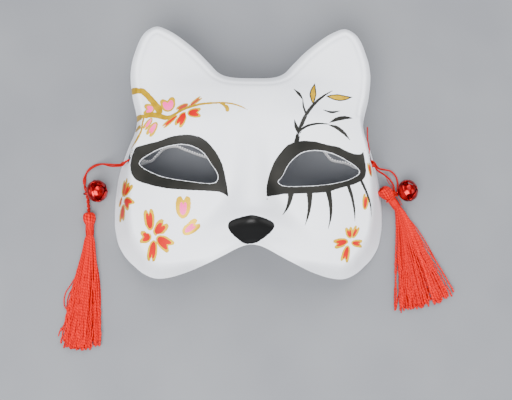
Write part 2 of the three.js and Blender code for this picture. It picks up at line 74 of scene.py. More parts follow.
Array = np.ndarray
Knots = Sequence[tuple[float, float]]
Rgb = tuple[float, float, float]
Socket = Union[bpy.types.NodeSocket, float, Sequence[float]]


def unit(vectors: Array) -> Array:
    """Each vector divided by its own length."""
    return vectors / np.maximum(np.linalg.norm(vectors, axis=-1, keepdims=True), 1e-12)


def ease(share: Array) -> Array:
    """Share from 0 to 1 that starts and ends level: 3 t squared less 2 t cubed."""
    t = np.clip(share, 0.0, 1.0)
    return t * t * (3.0 - 2.0 * t)


def smooth_line(knots: Knots, at: Array) -> Array:
    """Cubic through (position, value) knots, with the weighted mean of both sides' slopes at each knot.

    Args:
        knots: Positions in rising order, with the value at each.
        at: Positions to read, held within the first and last knot.

    Returns:
        The value at each position.
    """
    xs, ys = np.array(knots, float).T
    slopes = np.gradient(ys, xs)
    at = np.clip(at, xs[0], xs[-1])
    i = np.clip(np.searchsorted(xs, at) - 1, 0, len(xs) - 2)
    step = xs[i + 1] - xs[i]
    t = (at - xs[i]) / step
    rise = ys[i + 1] - ys[i]
    start, end = slopes[i] * step, slopes[i + 1] * step
    return ys[i] + t * (start + t * ((3.0 * rise - 2.0 * start - end) + t * (start + end - 2.0 * rise)))


def evenly(points: Array, count: int) -> Array:
    """Points at even shares of a polyline's length.

    Args:
        points: The polyline, one row a point.
        count: How many points to give back.

    Returns:
        The new points, with the first and last kept.
    """
    run = np.concatenate([[0.0], np.cumsum(np.linalg.norm(np.diff(points, axis=0), axis=1))])
    at = np.linspace(0.0, run[-1], count)
    return np.stack([np.interp(at, run, column) for column in points.T], axis=-1)


def curve_through(points: Sequence[Sequence[float]], count: int, closed: bool = False) -> Array:
    """Centripetal Catmull-Rom curve: cubics whose knot gaps are the square roots of the distances.

    Args:
        points: The points that the curve passes through.
        count: How many evenly spaced points to give back.
        closed: Whether the last point joins the first.

    Returns:
        Points on the curve. A closed curve doesn't repeat its first point.
    """
    p = np.asarray(points, float)
    if closed:
        p = np.vstack([p[-1:], p, p[:2]])
    else:
        p = np.vstack([2.0 * p[:1] - p[1:2], p, 2.0 * p[-1:] - p[-2:-1]])
    gap = np.maximum(np.linalg.norm(np.diff(p, axis=0), axis=1), 1e-6) ** 0.5
    stretches = len(p) - 3
    s = np.linspace(0.0, stretches, 24 * stretches + 1)
    i = np.minimum(s.astype(int), stretches - 1)
    t = (s - i)[:, None]
    a, b, c, d = (p[i + k] for k in range(4))
    g0, g1, g2 = (gap[i + k][:, None] for k in range(3))
    leave = ((b - a) / g0 - (c - a) / (g0 + g1) + (c - b) / g1) * g1
    reach = ((c - b) / g1 - (d - b) / (g1 + g2) + (d - c) / g2) * g1
    fine = b + t * (leave + t * ((3.0 * (c - b) - 2.0 * leave - reach) + t * (2.0 * (b - c) + leave + reach)))
    return evenly(fine, count + 1)[:-1] if closed else evenly(fine, count)


def path_length(points: Array) -> float:
    """Length of a polyline."""
    return float(np.linalg.norm(np.diff(points, axis=0), axis=1).sum())


def carried_sides(path: Array, first: Array) -> Array:
    """Side vectors along a path, carried from station to station with no twist.

    Each is the one before it with the new direction's share taken out.

    Args:
        path: Stations along the path.
        first: Rough side vector at the first station.

    Returns:
        One unit vector square to the path for each station.
    """
    along = unit(np.gradient(path, axis=0))
    sides = np.empty_like(path)
    side = first
    for station, direction in enumerate(along):
        side = unit(side - direction * float(side @ direction))
        sides[station] = side
    return sides


@dataclass
class Surface:
    """Points and faces of one piece, in millimetres.

    Attributes:
        points: One row a point.
        faces: Quads and triangles, each an array of index rows.
        places: For materials that follow the piece, each point's place. On a tube it is millimetres along it,
            from a start of its own, then the cosine and sine of its turn from the reference side. On a band
            it is millimetres along and across.
    """

    points: Array
    faces: list[Array]
    places: Optional[Array] = None

    def joined(self, other: "Surface") -> "Surface":
        """Both surfaces as one, without merging any points."""
        shift = len(self.points)
        places = None
        if self.places is not None and other.places is not None:
            places = np.vstack([self.places, other.places])
        return Surface(
            np.vstack([self.points, other.points]), self.faces + [f + shift for f in other.faces], places
        )

    def to_object(
        self, name: str, materials: Sequence[bpy.types.Material], sharp: float = 50.0
    ) -> bpy.types.Object:
        """Makes the Blender mesh and object.

        Args:
            name: Name of the object and its mesh.
            materials: Materials for its slots.
            sharp: Edges whose faces meet at more than this angle, in degrees, stay sharp.

        Returns:
            The object, linked to the scene.
        """
        mesh = bpy.data.meshes.new(name)
        rows = [row for block in self.faces for row in block.tolist()]
        mesh.from_pydata((self.points * MM).tolist(), [], rows)
        for material in materials:
            mesh.materials.append(material)
        mesh.shade_smooth()
        mesh.set_sharp_from_angle(angle=math.radians(sharp))
        if self.places is not None:
            corner = np.empty(len(mesh.loops), np.int32)
            mesh.loops.foreach_get("vertex_index", corner)
            layer = mesh.attributes.new("place", "FLOAT_VECTOR", "CORNER")
            layer.data.foreach_set("vector", self.places[corner].astype(np.float32).ravel())
        made = bpy.data.objects.new(name, mesh)
        bpy.context.scene.collection.objects.link(made)
        return made


def grid_faces(rows: int, columns: int, wrap: bool) -> Array:
    """Quads of a grid whose points run row by row, closed across the last column where it wraps."""
    j, i = np.meshgrid(np.arange(rows - 1), np.arange(columns if wrap else columns - 1), indexing="ij")
    right = (i + 1) % columns
    return np.stack(
        [j * columns + i, j * columns + right, (j + 1) * columns + right, (j + 1) * columns + i], axis=-1
    ).reshape(-1, 4)


def tubes(paths: Array, radii: Array, sides: int, reference: Array) -> Surface:
    """Round tubes: centre + radius times (cosine a of the side vector + sine a of the third vector).

    Args:
        paths: Tube by tube, the stations of each centre line.
        radii: Tube by tube, the radius at each station.
        sides: Corners round each tube.
        reference: Rough side vectors, one for all or one for each station.

    Returns:
        All tubes in one surface, with a low cone of triangles closing each end. Tube k counts its millimetres
        from k times the yarn gap, so that a material can tell the tubes apart.
    """
    count, stations, _ = paths.shape
    along = unit(np.gradient(paths, axis=1))
    reference = np.broadcast_to(reference, paths.shape)
    side = unit(reference - along * (reference * along).sum(-1, keepdims=True))
    third = np.cross(along, side)
    turn = np.linspace(0.0, 2.0 * np.pi, sides, endpoint=False)[:, None]
    ring = np.cos(turn) * side[:, :, None, :] + np.sin(turn) * third[:, :, None, :]
    body = paths[:, :, None, :] + radii[:, :, None, None] * ring
    steps = np.linalg.norm(np.diff(paths, axis=1), axis=-1)
    run = np.concatenate([np.zeros((count, 1)), np.cumsum(steps, axis=1)], axis=1)[:, :, None] + 1.0
    run = run + YARN_GAP * np.arange(count)[:, None, None]
    columns = (run, np.cos(turn[:, 0]), np.sin(turn[:, 0]))
    places = np.stack([np.broadcast_to(column, body.shape[:3]) for column in columns], axis=-1)
    size = stations * sides
    first = (np.arange(count) * size)[:, None]
    quads = (grid_faces(stations, sides, True)[None] + first[:, :, None]).reshape(-1, 4)
    k = np.arange(sides)
    following = (k + 1) % sides
    pole = count * size + 2 * np.arange(count)[:, None] + 0 * k
    last = first + size - sides
    near = np.stack([pole, first + following, first + k], axis=-1).reshape(-1, 3)
    far = np.stack([pole + 1, last + k, last + following], axis=-1).reshape(-1, 3)
    tips = np.stack(
        [
            paths[:, 0] - along[:, 0] * radii[:, :1] * 0.5,
            paths[:, -1] + along[:, -1] * radii[:, -1:] * 0.5,
        ],
        axis=1,
    )
    tip_places = np.zeros((count, 2, 3))
    tip_places[:, :, 0] = run[:, [0, -1], 0]
    return Surface(
        np.vstack([body.reshape(-1, 3), tips.reshape(-1, 3)]),
        [quads, near, far],
        np.vstack([places.reshape(-1, 3), tip_places.reshape(-1, 3)]),
    )


class NodeBench:
    """Adds nodes to one node tree and wires them."""

    def __init__(self, tree: bpy.types.NodeTree) -> None:
        """Keeps the tree that the nodes go into."""
        self.tree = tree

    def add(self, kind: str, **settings: object) -> bpy.types.Node:
        """A new node of the kind, with its settings."""
        node = self.tree.nodes.new(kind)
        for key, value in settings.items():
            setattr(node, key, value)
        return node

    def feed(self, socket: bpy.types.NodeSocket, value: Socket) -> None:
        """Links a socket into another, or sets its own value."""
        if isinstance(value, bpy.types.NodeSocket):
            self.tree.links.new(value, socket)
        else:
            socket.default_value = value

    def math(self, operation: str, *values: Socket) -> bpy.types.NodeSocket:
        """Result of a Math node."""
        node = self.add("ShaderNodeMath", operation=operation)
        for socket, value in zip(node.inputs, values):
            self.feed(socket, value)
        return node.outputs[0]

    def mix(self, share: Socket, first: Socket, second: Socket) -> bpy.types.NodeSocket:
        """Colour between the first and the second."""
        node = self.add("ShaderNodeMix", data_type="RGBA")
        for index, value in ((0, share), (6, first), (7, second)):
            self.feed(node.inputs[index], value)
        return node.outputs[2]

    def blend(self, share: Socket, first: Socket, second: Socket) -> bpy.types.NodeSocket:
        """Number between the first and the second."""
        node = self.add("ShaderNodeMix", data_type="FLOAT")
        for index, value in ((0, share), (2, first), (3, second)):
            self.feed(node.inputs[index], value)
        return node.outputs[0]

    def spread(
        self, value: Socket, low: float, high: float, to_low: float, to_high: float
    ) -> bpy.types.NodeSocket:
        """Value carried from one range to another, and held within it."""
        node = self.add("ShaderNodeMapRange")
        for socket, number in zip(node.inputs, (value, low, high, to_low, to_high)):
            self.feed(socket, number)
        return node.outputs[0]

    def objects(self) -> bpy.types.NodeSocket:
        """Object coordinates, which are metres in the part's frame."""
        return self.add("ShaderNodeTexCoord").outputs["Object"]

    def noise(self, scale: float, detail: float = 2.0) -> bpy.types.NodeSocket:
        """Noise from 0 to 1 whose spots are about one scale'th of a metre wide."""
        node = self.add("ShaderNodeTexNoise")
        self.feed(node.inputs["Vector"], self.objects())
        node.inputs["Scale"].default_value = scale
        node.inputs["Detail"].default_value = detail
        return node.outputs["Fac"]

    def attribute(self, name: str) -> bpy.types.Node:
        """Node that reads a mesh attribute."""
        return self.add("ShaderNodeAttribute", attribute_name=name)

    def split(self, vector: Socket) -> list[bpy.types.NodeSocket]:
        """The three numbers of a vector."""
        node = self.add("ShaderNodeSeparateXYZ")
        self.feed(node.inputs[0], vector)
        return list(node.outputs)

    def group(self, group: bpy.types.NodeTree, **values: Socket) -> bpy.types.Node:
        """Places a node group with values for its inputs, where _ stands for a space."""
        node = self.add("ShaderNodeGroup", node_tree=group)
        for key, value in values.items():
            self.feed(node.inputs[key.replace("_", " ")], value)
        return node

    def bump(self, height: Socket, depth: float, strength: float = 1.0) -> bpy.types.NodeSocket:
        """Normal for a height from 0 to 1 that stands for a depth in millimetres."""
        node = self.add("ShaderNodeBump")
        node.inputs["Strength"].default_value = strength
        node.inputs["Distance"].default_value = depth * MM
        self.feed(node.inputs["Height"], height)
        return node.outputs[0]


def new_group(
    name: str, inputs: dict[str, str], outputs: dict[str, str]
) -> tuple[NodeBench, dict, bpy.types.Node]:
    """Starts a shader node group.

    Args:
        name: Name of the group.
        inputs: Name of each input with its kind, Float, Vector or Color.
        outputs: The same for the outputs.

    Returns:
        The bench to build on, the input sockets by name, and the output node.
    """
    tree = bpy.data.node_groups.new(name, "ShaderNodeTree")
    for sockets, way in ((inputs, "INPUT"), (outputs, "OUTPUT")):
        for label, kind in sockets.items():
            tree.interface.new_socket(label, in_out=way, socket_type=f"NodeSocket{kind}")
    bench = NodeBench(tree)
    start = bench.add("NodeGroupInput")
    return bench, {label: start.outputs[label] for label in inputs}, bench.add("NodeGroupOutput")


def rgb(red: int, green: int, blue: int) -> Rgb:
    """Linear colour from the 0 to 255 values that a screen shows."""
    shares = np.array([red, green, blue]) / 255.0
    linear = np.where(shares <= 0.04045, shares / 12.92, ((shares + 0.055) / 1.055) ** 2.4)
    return tuple(float(value) for value in linear)


def rgba(colour: Rgb) -> tuple[float, float, float, float]:
    """Colour with full opacity, as a colour socket takes it."""
    return (*colour, 1.0)


def new_material(name: str, **sockets: Socket) -> tuple[bpy.types.Material, NodeBench, bpy.types.Node]:
    """Starts a material on a Principled shader.

    Args:
        name: Name of the material.
        sockets: Plain values for the shader's own sockets, where _ stands for a space.

    Returns:
        The material, a bench for its nodes, and the Principled node.
    """
    material = bpy.data.materials.new(name)
    material.use_nodes = True
    bench = NodeBench(material.node_tree)
    shader = material.node_tree.nodes["Principled BSDF"]
    for key, value in sockets.items():
        shader.inputs[key.replace("_", " ")].default_value = value
    return material, bench, shader


class Groups:
    """The node groups that several finishes use, each built once."""

    def __init__(self) -> None:
        """Builds every group."""
        self.stroke = self._stroke()
        self.petal = self._petal()
        self.grain = self._grain()
        self.winding = self._winding()

    @staticmethod
    def _stroke() -> bpy.types.NodeTree:
        """Mask of a brush stroke: 1 where its line is nearer than its half width, round at its ends."""
        bench, given, out = new_group(
            "brush stroke", {"Place": "Vector", "Inset": "Float", "Wobble": "Float"}, {"Mask": "Float"}
        )
        across, half, past = bench.split(given["Place"])
        over = bench.math("MAXIMUM", past, 0.0)
        square = bench.math("MULTIPLY", across, across)
        away = bench.math("SQRT", bench.math("ADD", square, bench.math("MULTIPLY", over, over)))
        limit = bench.math("ADD", bench.math("SUBTRACT", half, given["Inset"]), given["Wobble"])
        bench.feed(out.inputs["Mask"], bench.math("GREATER_THAN", limit, away))
        return bench.tree

    @staticmethod
    def _petal() -> bpy.types.NodeTree:
        """Mask of a petal: u runs from its base to its tips, and v is half widths from its middle.

        Inside is where the size of v is under 1.86 u^0.5 (1 - u)^0.4 + tip u^5, and u is under a line that
        rises from 1 less the notch at the middle to 1 at the tips.
        """
        bench, given, out = new_group(
            "petal",
            {"Place": "Vector", "Notch": "Float", "Wobble": "Float"},
            {"Mask": "Float", "Along": "Float"},
        )
        u, v, tip = bench.split(given["Place"])
        size = bench.math("ADD", bench.math("ABSOLUTE", v), given["Wobble"])
        along = bench.math("MINIMUM", bench.math("MAXIMUM", u, 0.0), 1.0)
        left = bench.math("SUBTRACT", 1.0, along)
        belly = bench.math("MULTIPLY", bench.math("POWER", along, 0.5), bench.math("POWER", left, 0.4))
        flare = bench.math("MULTIPLY", tip, bench.math("POWER", along, 5.0))
        outline = bench.math("MULTIPLY_ADD", belly, 1.86, flare)
        inside = bench.math("LESS_THAN", size, outline)
        rise = bench.math("DIVIDE", size, bench.math("MAXIMUM", tip, 0.05))
        kept = bench.math("SUBTRACT", 1.0, rise)
        end = bench.math(
            "SUBTRACT", 1.0, bench.math("MULTIPLY", given["Notch"], bench.math("MAXIMUM", kept, 0.0))
        )
        below = bench.math("LESS_THAN", u, end)
        above = bench.math("GREATER_THAN", u, 0.0)
        mask = bench.math("MULTIPLY", inside, bench.math("MULTIPLY", below, above))
        bench.feed(out.inputs["Mask"], mask)
        bench.feed(out.inputs["Along"], along)
        return bench.tree

    @staticmethod
    def _grain() -> bpy.types.NodeTree:
        """Slow and fine noise added up, as a height and as a mask, for plastic, lacquer and dust."""
        bench, given, out = new_group(
            "grain", {"Slow": "Float", "Fine": "Float"}, {"Height": "Float", "Mask": "Float"}
        )
        heights = []
        for key in ("Slow", "Fine"):
            node = bench.add("ShaderNodeTexNoise")
            bench.feed(node.inputs["Vector"], bench.objects())
            bench.feed(node.inputs["Scale"], given[key])
            heights.append(node.outputs["Fac"])
        bench.feed(out.inputs["Height"], bench.math("MULTIPLY_ADD", heights[1], 0.35, heights[0]))
        bench.feed(out.inputs["Mask"], bench.spread(heights[0], 0.35, 0.65, 0.0, 1.0))
        return bench.tree

    @staticmethod
    def _winding() -> bpy.types.NodeTree:
        """Ridges that wind along a tube: half of 1 plus the sine of (turns along + turn round)."""
        bench, given, out = new_group("winding", {"Place": "Vector", "Pitch": "Float"}, {"Ridge": "Float"})
        along, cosine, sine = bench.split(given["Place"])
        angle = bench.math("MULTIPLY", bench.math("DIVIDE", along, given["Pitch"]), 2.0 * math.pi)
        first = bench.math("MULTIPLY", bench.math("SINE", angle), cosine)
        wave = bench.math("MULTIPLY_ADD", bench.math("COSINE", angle), sine, first)
        bench.feed(out.inputs["Ridge"], bench.math("MULTIPLY_ADD", wave, 0.5, 0.5))
        return bench.tree


@dataclass(frozen=True)
class BarePlastic:
    """Unpainted moulded plastic of the mask's back and cut edges."""

    colour: Rgb = rgb(226, 228, 233)
    shade: Rgb = rgb(214, 216, 222)
    roughness: float = 0.5

    def build(self, groups: Groups) -> bpy.types.Material:
        """Makes the material: a slow change of shade, and the fine grain of the mould."""
        material, bench, shader = new_material("bare_plastic", Roughness=self.roughness, IOR=1.5)
        grain = bench.group(groups.grain, Slow=45.0, Fine=1600.0)
        bench.feed(
            shader.inputs["Base Color"], bench.mix(grain.outputs["Mask"], rgba(self.colour), rgba(self.shade))
        )
        bench.feed(shader.inputs["Normal"], bench.bump(grain.outputs["Height"], 0.05, 0.5))
        return material


@dataclass(frozen=True)
class PaintedPlastic:
    """Face of the mask: satin white with brush-painted marks in ink, gold, red and pink."""

    white: Rgb = rgb(236, 239, 245)
    white_shade: Rgb = rgb(231, 234, 242)
    ink: Rgb = rgb(26, 26, 24)
    ink_thin: Rgb = rgb(38, 37, 34)
    nose: Rgb = rgb(15, 15, 15)
    gold: Rgb = rgb(160, 124, 0)
    gold_light: Rgb = rgb(204, 166, 4)
    petal_gold: Rgb = rgb(192, 150, 0)
    red: Rgb = rgb(172, 1, 0)
    red_light: Rgb = rgb(192, 4, 0)
    pink: Rgb = rgb(250, 54, 146)
    pink_light: Rgb = rgb(252, 92, 170)
    faded: Rgb = rgb(166, 58, 44)
    roughness: float = 0.42
    bare_rim: float = 0.2

    def build(self, groups: Groups) -> bpy.types.Material:
        """Makes the material: each mark is a mask laid over the ones before it."""
        material, bench, shader = new_material("painted_plastic", IOR=1.5, Specular_IOR_Level=0.15)
        grain = bench.group(groups.grain, Slow=30.0, Fine=1400.0)
        brush = bench.noise(700.0, 3.0)
        wobble = bench.spread(brush, 0.3, 0.7, -0.12, 0.12)
        streak = bench.noise(260.0, 4.0)

        colour = bench.mix(grain.outputs["Mask"], rgba(self.white), rgba(self.white_shade))
        leafed = bench.spread(streak, 0.35, 0.65, 0.0, 1.0)
        gold = bench.mix(bench.math("MULTIPLY", leafed, 0.5), rgba(self.gold), rgba(self.gold_light))
        petal_gold = bench.mix(leafed, rgba(self.petal_gold), rgba(self.gold_light))
        branch = bench.group(
            groups.stroke, Place=bench.attribute("branch").outputs["Vector"], Wobble=wobble
        ).outputs[0]

        outer_place = bench.attribute("petal")
        inner_place = bench.attribute("petal_fill")
        wobble_share = bench.math("MULTIPLY", wobble, 0.3)
        outer = bench.group(groups.petal, Place=outer_place.outputs["Vector"], Notch=0.2, Wobble=wobble_share)
        inner = bench.group(
            groups.petal, Place=inner_place.outputs["Vector"], Notch=0.24, Wobble=wobble_share
        )
        kind = bench.attribute("petal_colour").outputs["Fac"]
        red = bench.mix(inner.outputs["Along"], rgba(self.red), rgba(self.red_light))
        pink = bench.mix(inner.outputs["Along"], rgba(self.pink_light), rgba(self.pink))
        fill = bench.mix(bench.math("GREATER_THAN", kind, 0.5), red, pink)
        fill = bench.mix(bench.math("GREATER_THAN", kind, 1.5), fill, rgba(self.faded))

        colour = bench.mix(outer.outputs["Mask"], colour, petal_gold)
        colour = bench.mix(inner.outputs["Mask"], colour, fill)
        colour = bench.mix(branch, colour, gold)

        leaf = bench.attribute("gold_leaf").outputs["Vector"]
        leaf_body = bench.group(groups.stroke, Place=leaf, Wobble=wobble).outputs[0]
        leaf_fill = bench.group(groups.stroke, Place=leaf, Inset=0.75, Wobble=wobble).outputs[0]
        ink_stroke = bench.group(
            groups.stroke, Place=bench.attribute("ink").outputs["Vector"], Wobble=wobble
        ).outputs[0]
        ring = bench.math(
            "LESS_THAN", bench.math("ADD", bench.attribute("ring_edge").outputs["Fac"], wobble), 0.0
        )
        dark = bench.math("MAXIMUM", bench.math("MAXIMUM", leaf_body, ink_stroke), ring)
        ink = bench.mix(
            bench.spread(bench.noise(60.0, 2.0), 0.35, 0.7, 0.0, 1.0), rgba(self.ink), rgba(self.ink_thin)
        )
        colour = bench.mix(dark, colour, ink)
        colour = bench.mix(leaf_fill, colour, gold)
        nose = bench.math(
            "LESS_THAN", bench.math("ADD", bench.attribute("nose_edge").outputs["Fac"], wobble), 0.0
        )
        colour = bench.mix(nose, colour, rgba(self.nose))
        cut = bench.math(
            "LESS_THAN", bench.math("ADD", bench.attribute("cut_edge").outputs["Fac"], wobble), self.bare_rim
        )
        colour = bench.mix(cut, colour, rgba(self.white))
        bench.feed(shader.inputs["Base Color"], colour)

        gilt = bench.math(
            "MAXIMUM", bench.math("SUBTRACT", outer.outputs["Mask"], inner.outputs["Mask"]), branch
        )
        gilt = bench.math("MAXIMUM", gilt, leaf_fill)
        bench.feed(shader.inputs["Metallic"], bench.math("MULTIPLY", gilt, 0.25))
        paint = bench.math(
            "MAXIMUM", bench.math("MAXIMUM", dark, nose), bench.math("MAXIMUM", outer.outputs["Mask"], branch)
        )
        bench.feed(shader.inputs["Roughness"], bench.blend(paint, self.roughness, 0.36))
        body = bench.math("MULTIPLY_ADD", paint, 1.2, grain.outputs["Height"])
        bench.feed(shader.inputs["Normal"], bench.bump(body, 0.05, 0.6))
        return material


@dataclass(frozen=True)
class TwistedYarn:
    """Vermilion yarn whose plies wind along it, with painted shade in the grooves between them and down its
    flanks.

    Attributes:
        name: Name of the material.
        colour: Colour of the plies' crowns.
        groove_shade: Colour of the painted shade between plies and on the flanks.
        light: Colour of the palest yarns.
        pitch: Millimetres between two grooves.
        depth: Depth of the grooves in millimetres.
        flank_shade: Share of the painted shade down the flanks, where many yarns lie side by side.
    """

    name: str
    colour: Rgb
    groove_shade: Rgb
    light: Rgb
    pitch: float
    depth: float
    flank_shade: float

    def build(self, groups: Groups) -> bpy.types.Material:
        """Makes the material: winding ridges with a little fuzz, painted shade in the grooves and on the
        flanks, and a tone of its own for each yarn.
        """
        material, bench, shader = new_material(self.name, Roughness=0.5, Specular_IOR_Level=0.12)
        place = bench.attribute("place").outputs["Vector"]
        ridge = bench.group(groups.winding, Place=place, Pitch=self.pitch).outputs[0]
        height = bench.math("MULTIPLY_ADD", bench.noise(3000.0, 2.0), 0.4, ridge)
        along, facing, _ = bench.split(place)
        # Painted shade: flanks that face away from the reference side, and the low parts between plies, turn
        # towards the groove colour.
        facing_lit = bench.spread(facing, -0.2, 0.8, 1.0 - self.flank_shade, 1.0)
        lit_share = bench.math("MULTIPLY", facing_lit, bench.spread(height, 0.1, 0.8, 0.35, 1.0))
        own = bench.add("ShaderNodeTexWhiteNoise", noise_dimensions="1D")
        bench.feed(own.inputs["W"], bench.math("FLOOR", bench.math("DIVIDE", along, YARN_GAP)))
        body = bench.mix(own.outputs["Value"], rgba(self.colour), rgba(self.light))
        bench.feed(shader.inputs["Base Color"], bench.mix(lit_share, rgba(self.groove_shade), body))
        bench.feed(shader.inputs["Normal"], bench.bump(height, self.depth, 0.7))
        return material


@dataclass(frozen=True)
class BraidedElastic:
    """White elastic band, braided from fine yarns that cross at a slant."""

    colour: Rgb = rgb(238, 235, 232)
    # Colour of the painted shade in the grooves between the ribs.
    groove_shade: Rgb = rgb(132, 136, 146)
    pitch: float = 1.7

    def build(self, groups: Groups) -> bpy.types.Material:
        """Makes the material: two sets of slanting ribs, the higher one on top, with painted shade in the
        grooves.
        """
        material, bench, shader = new_material("braided_elastic", Roughness=0.85, Sheen_Weight=0.2)
        along, across, _ = bench.split(bench.attribute("place").outputs["Vector"])
        ribs = []
        for way in (1.0, -1.0):
            slant = bench.math("MULTIPLY_ADD", across, way, along)
            wave = bench.math("SINE", bench.math("MULTIPLY", slant, 2.0 * math.pi / self.pitch))
            ribs.append(bench.spread(wave, -1.0, 1.0, 0.0, 1.0))
        rib = bench.math("MAXIMUM", ribs[0], ribs[1])
        height = bench.math("MULTIPLY_ADD", bench.noise(4000.0, 2.0), 0.3, rib)
        # Painted shade: the low parts between the ribs turn towards the groove colour.
        shade = bench.spread(height, 0.55, 1.1, 0.0, 1.0)
        bench.feed(shader.inputs["Base Color"], bench.mix(shade, rgba(self.groove_shade), rgba(self.colour)))
        bench.feed(shader.inputs["Normal"], bench.bump(height, 0.18, 0.8))
        return material


@dataclass(frozen=True)
class LacqueredMetal:
    """Bright bell metal under clear dark red lacquer."""

    colour: Rgb = rgb(196, 8, 16)
    deep: Rgb = rgb(116, 2, 8)
    roughness: float = 0.24

    def build(self, groups: Groups) -> bpy.types.Material:
        """Makes the material: lacquer that pools darker in places, with faint rubs in its gloss."""
        material, bench, shader = new_material("lacquered_metal", Coat_Weight=0.12, Coat_Roughness=0.1)
        grain = bench.group(groups.grain, Slow=260.0, Fine=2400.0)
        bench.feed(
            shader.inputs["Base Color"], bench.mix(grain.outputs["Mask"], rgba(self.colour), rgba(self.deep))
        )
        bench.feed(shader.inputs["Metallic"], bench.spread(grain.outputs["Mask"], 0.0, 1.0, 1.0, 0.9))
        bench.feed(
            shader.inputs["Roughness"], bench.spread(grain.outputs["Mask"], 0.0, 1.0, self.roughness, 0.32)
        )
        bench.feed(shader.inputs["Normal"], bench.bump(grain.outputs["Height"], 0.06, 0.35))
        return material


@dataclass(frozen=True)
class TableTop:
    """Plain pale surface under the mask."""

    colour: Rgb = rgb(118, 120, 124)
    fleck: Rgb = rgb(112, 114, 119)

    def build(self, groups: Groups) -> bpy.types.Material:
        """Makes the material: a matt surface with a faint cloud in it."""
        material, bench, shader = new_material("table_top", Roughness=0.7, Specular_IOR_Level=0.3)
        grain = bench.group(groups.grain, Slow=14.0, Fine=700.0)
        bench.feed(
            shader.inputs["Base Color"], bench.mix(grain.outputs["Mask"], rgba(self.colour), rgba(self.fleck))
        )
        bench.feed(shader.inputs["Normal"], bench.bump(grain.outputs["Height"], 0.04, 0.3))
        return material


class Finish(Enum):
    """Every finish on the part and round it."""

    BARE = BarePlastic()
    PAINTED = PaintedPlastic()
    THREAD = TwistedYarn(
        "tassel_yarn", rgb(188, 2, 0), rgb(108, 0, 0), rgb(218, 8, 0), pitch=1.9, depth=0.1, flank_shade=0.8
    )
    CORD = TwistedYarn(
        "cord_yarn", rgb(196, 3, 0), rgb(104, 0, 0), rgb(206, 6, 0), pitch=1.1, depth=0.06, flank_shade=0.5
    )
    ELASTIC = BraidedElastic()
    BELL = LacqueredMetal()
    TABLE = TableTop()


class Palette:
    """Materials by finish, each made when first asked for."""

    def __init__(self) -> None:
        """Builds the shared node groups."""
        self.groups = Groups()
        self.made: dict[Finish, bpy.types.Material] = {}

    def material(self, finish: Finish) -> bpy.types.Material:
        """The finish's material."""
        if finish not in self.made:
            self.made[finish] = finish.value.build(self.groups)
        return self.made[finish]


@dataclass(frozen=True)
class RimPoint:
    """A place on the outline: its rim is at height z, or drop below the face. band is how wide the edge's
    roll or wall is, and straight is the share of it that is flat."""

    x: float
    y: float
    drop: float
    z: float
    band: float
    straight: float


def rolled(x: float, y: float, drop: float, band: float = 6.0, straight: float = 0.1) -> RimPoint:
    """Rim point a little below the face, where the edge is rolled."""
    return RimPoint(x, y, drop, math.nan, band, straight)


def walled(x: float, y: float, z: float, band: float, straight: float = 0.6) -> RimPoint:
    """Rim point at the foot of a side wall."""
    return RimPoint(x, y, math.nan, z, band, straight)


@dataclass(frozen=True)
class Swelling:
    """A soft swelling or hollow on both halves of the face, as a bell-shaped mound."""

    x: float
    y: float
    rx: float
    ry: float
    z: float


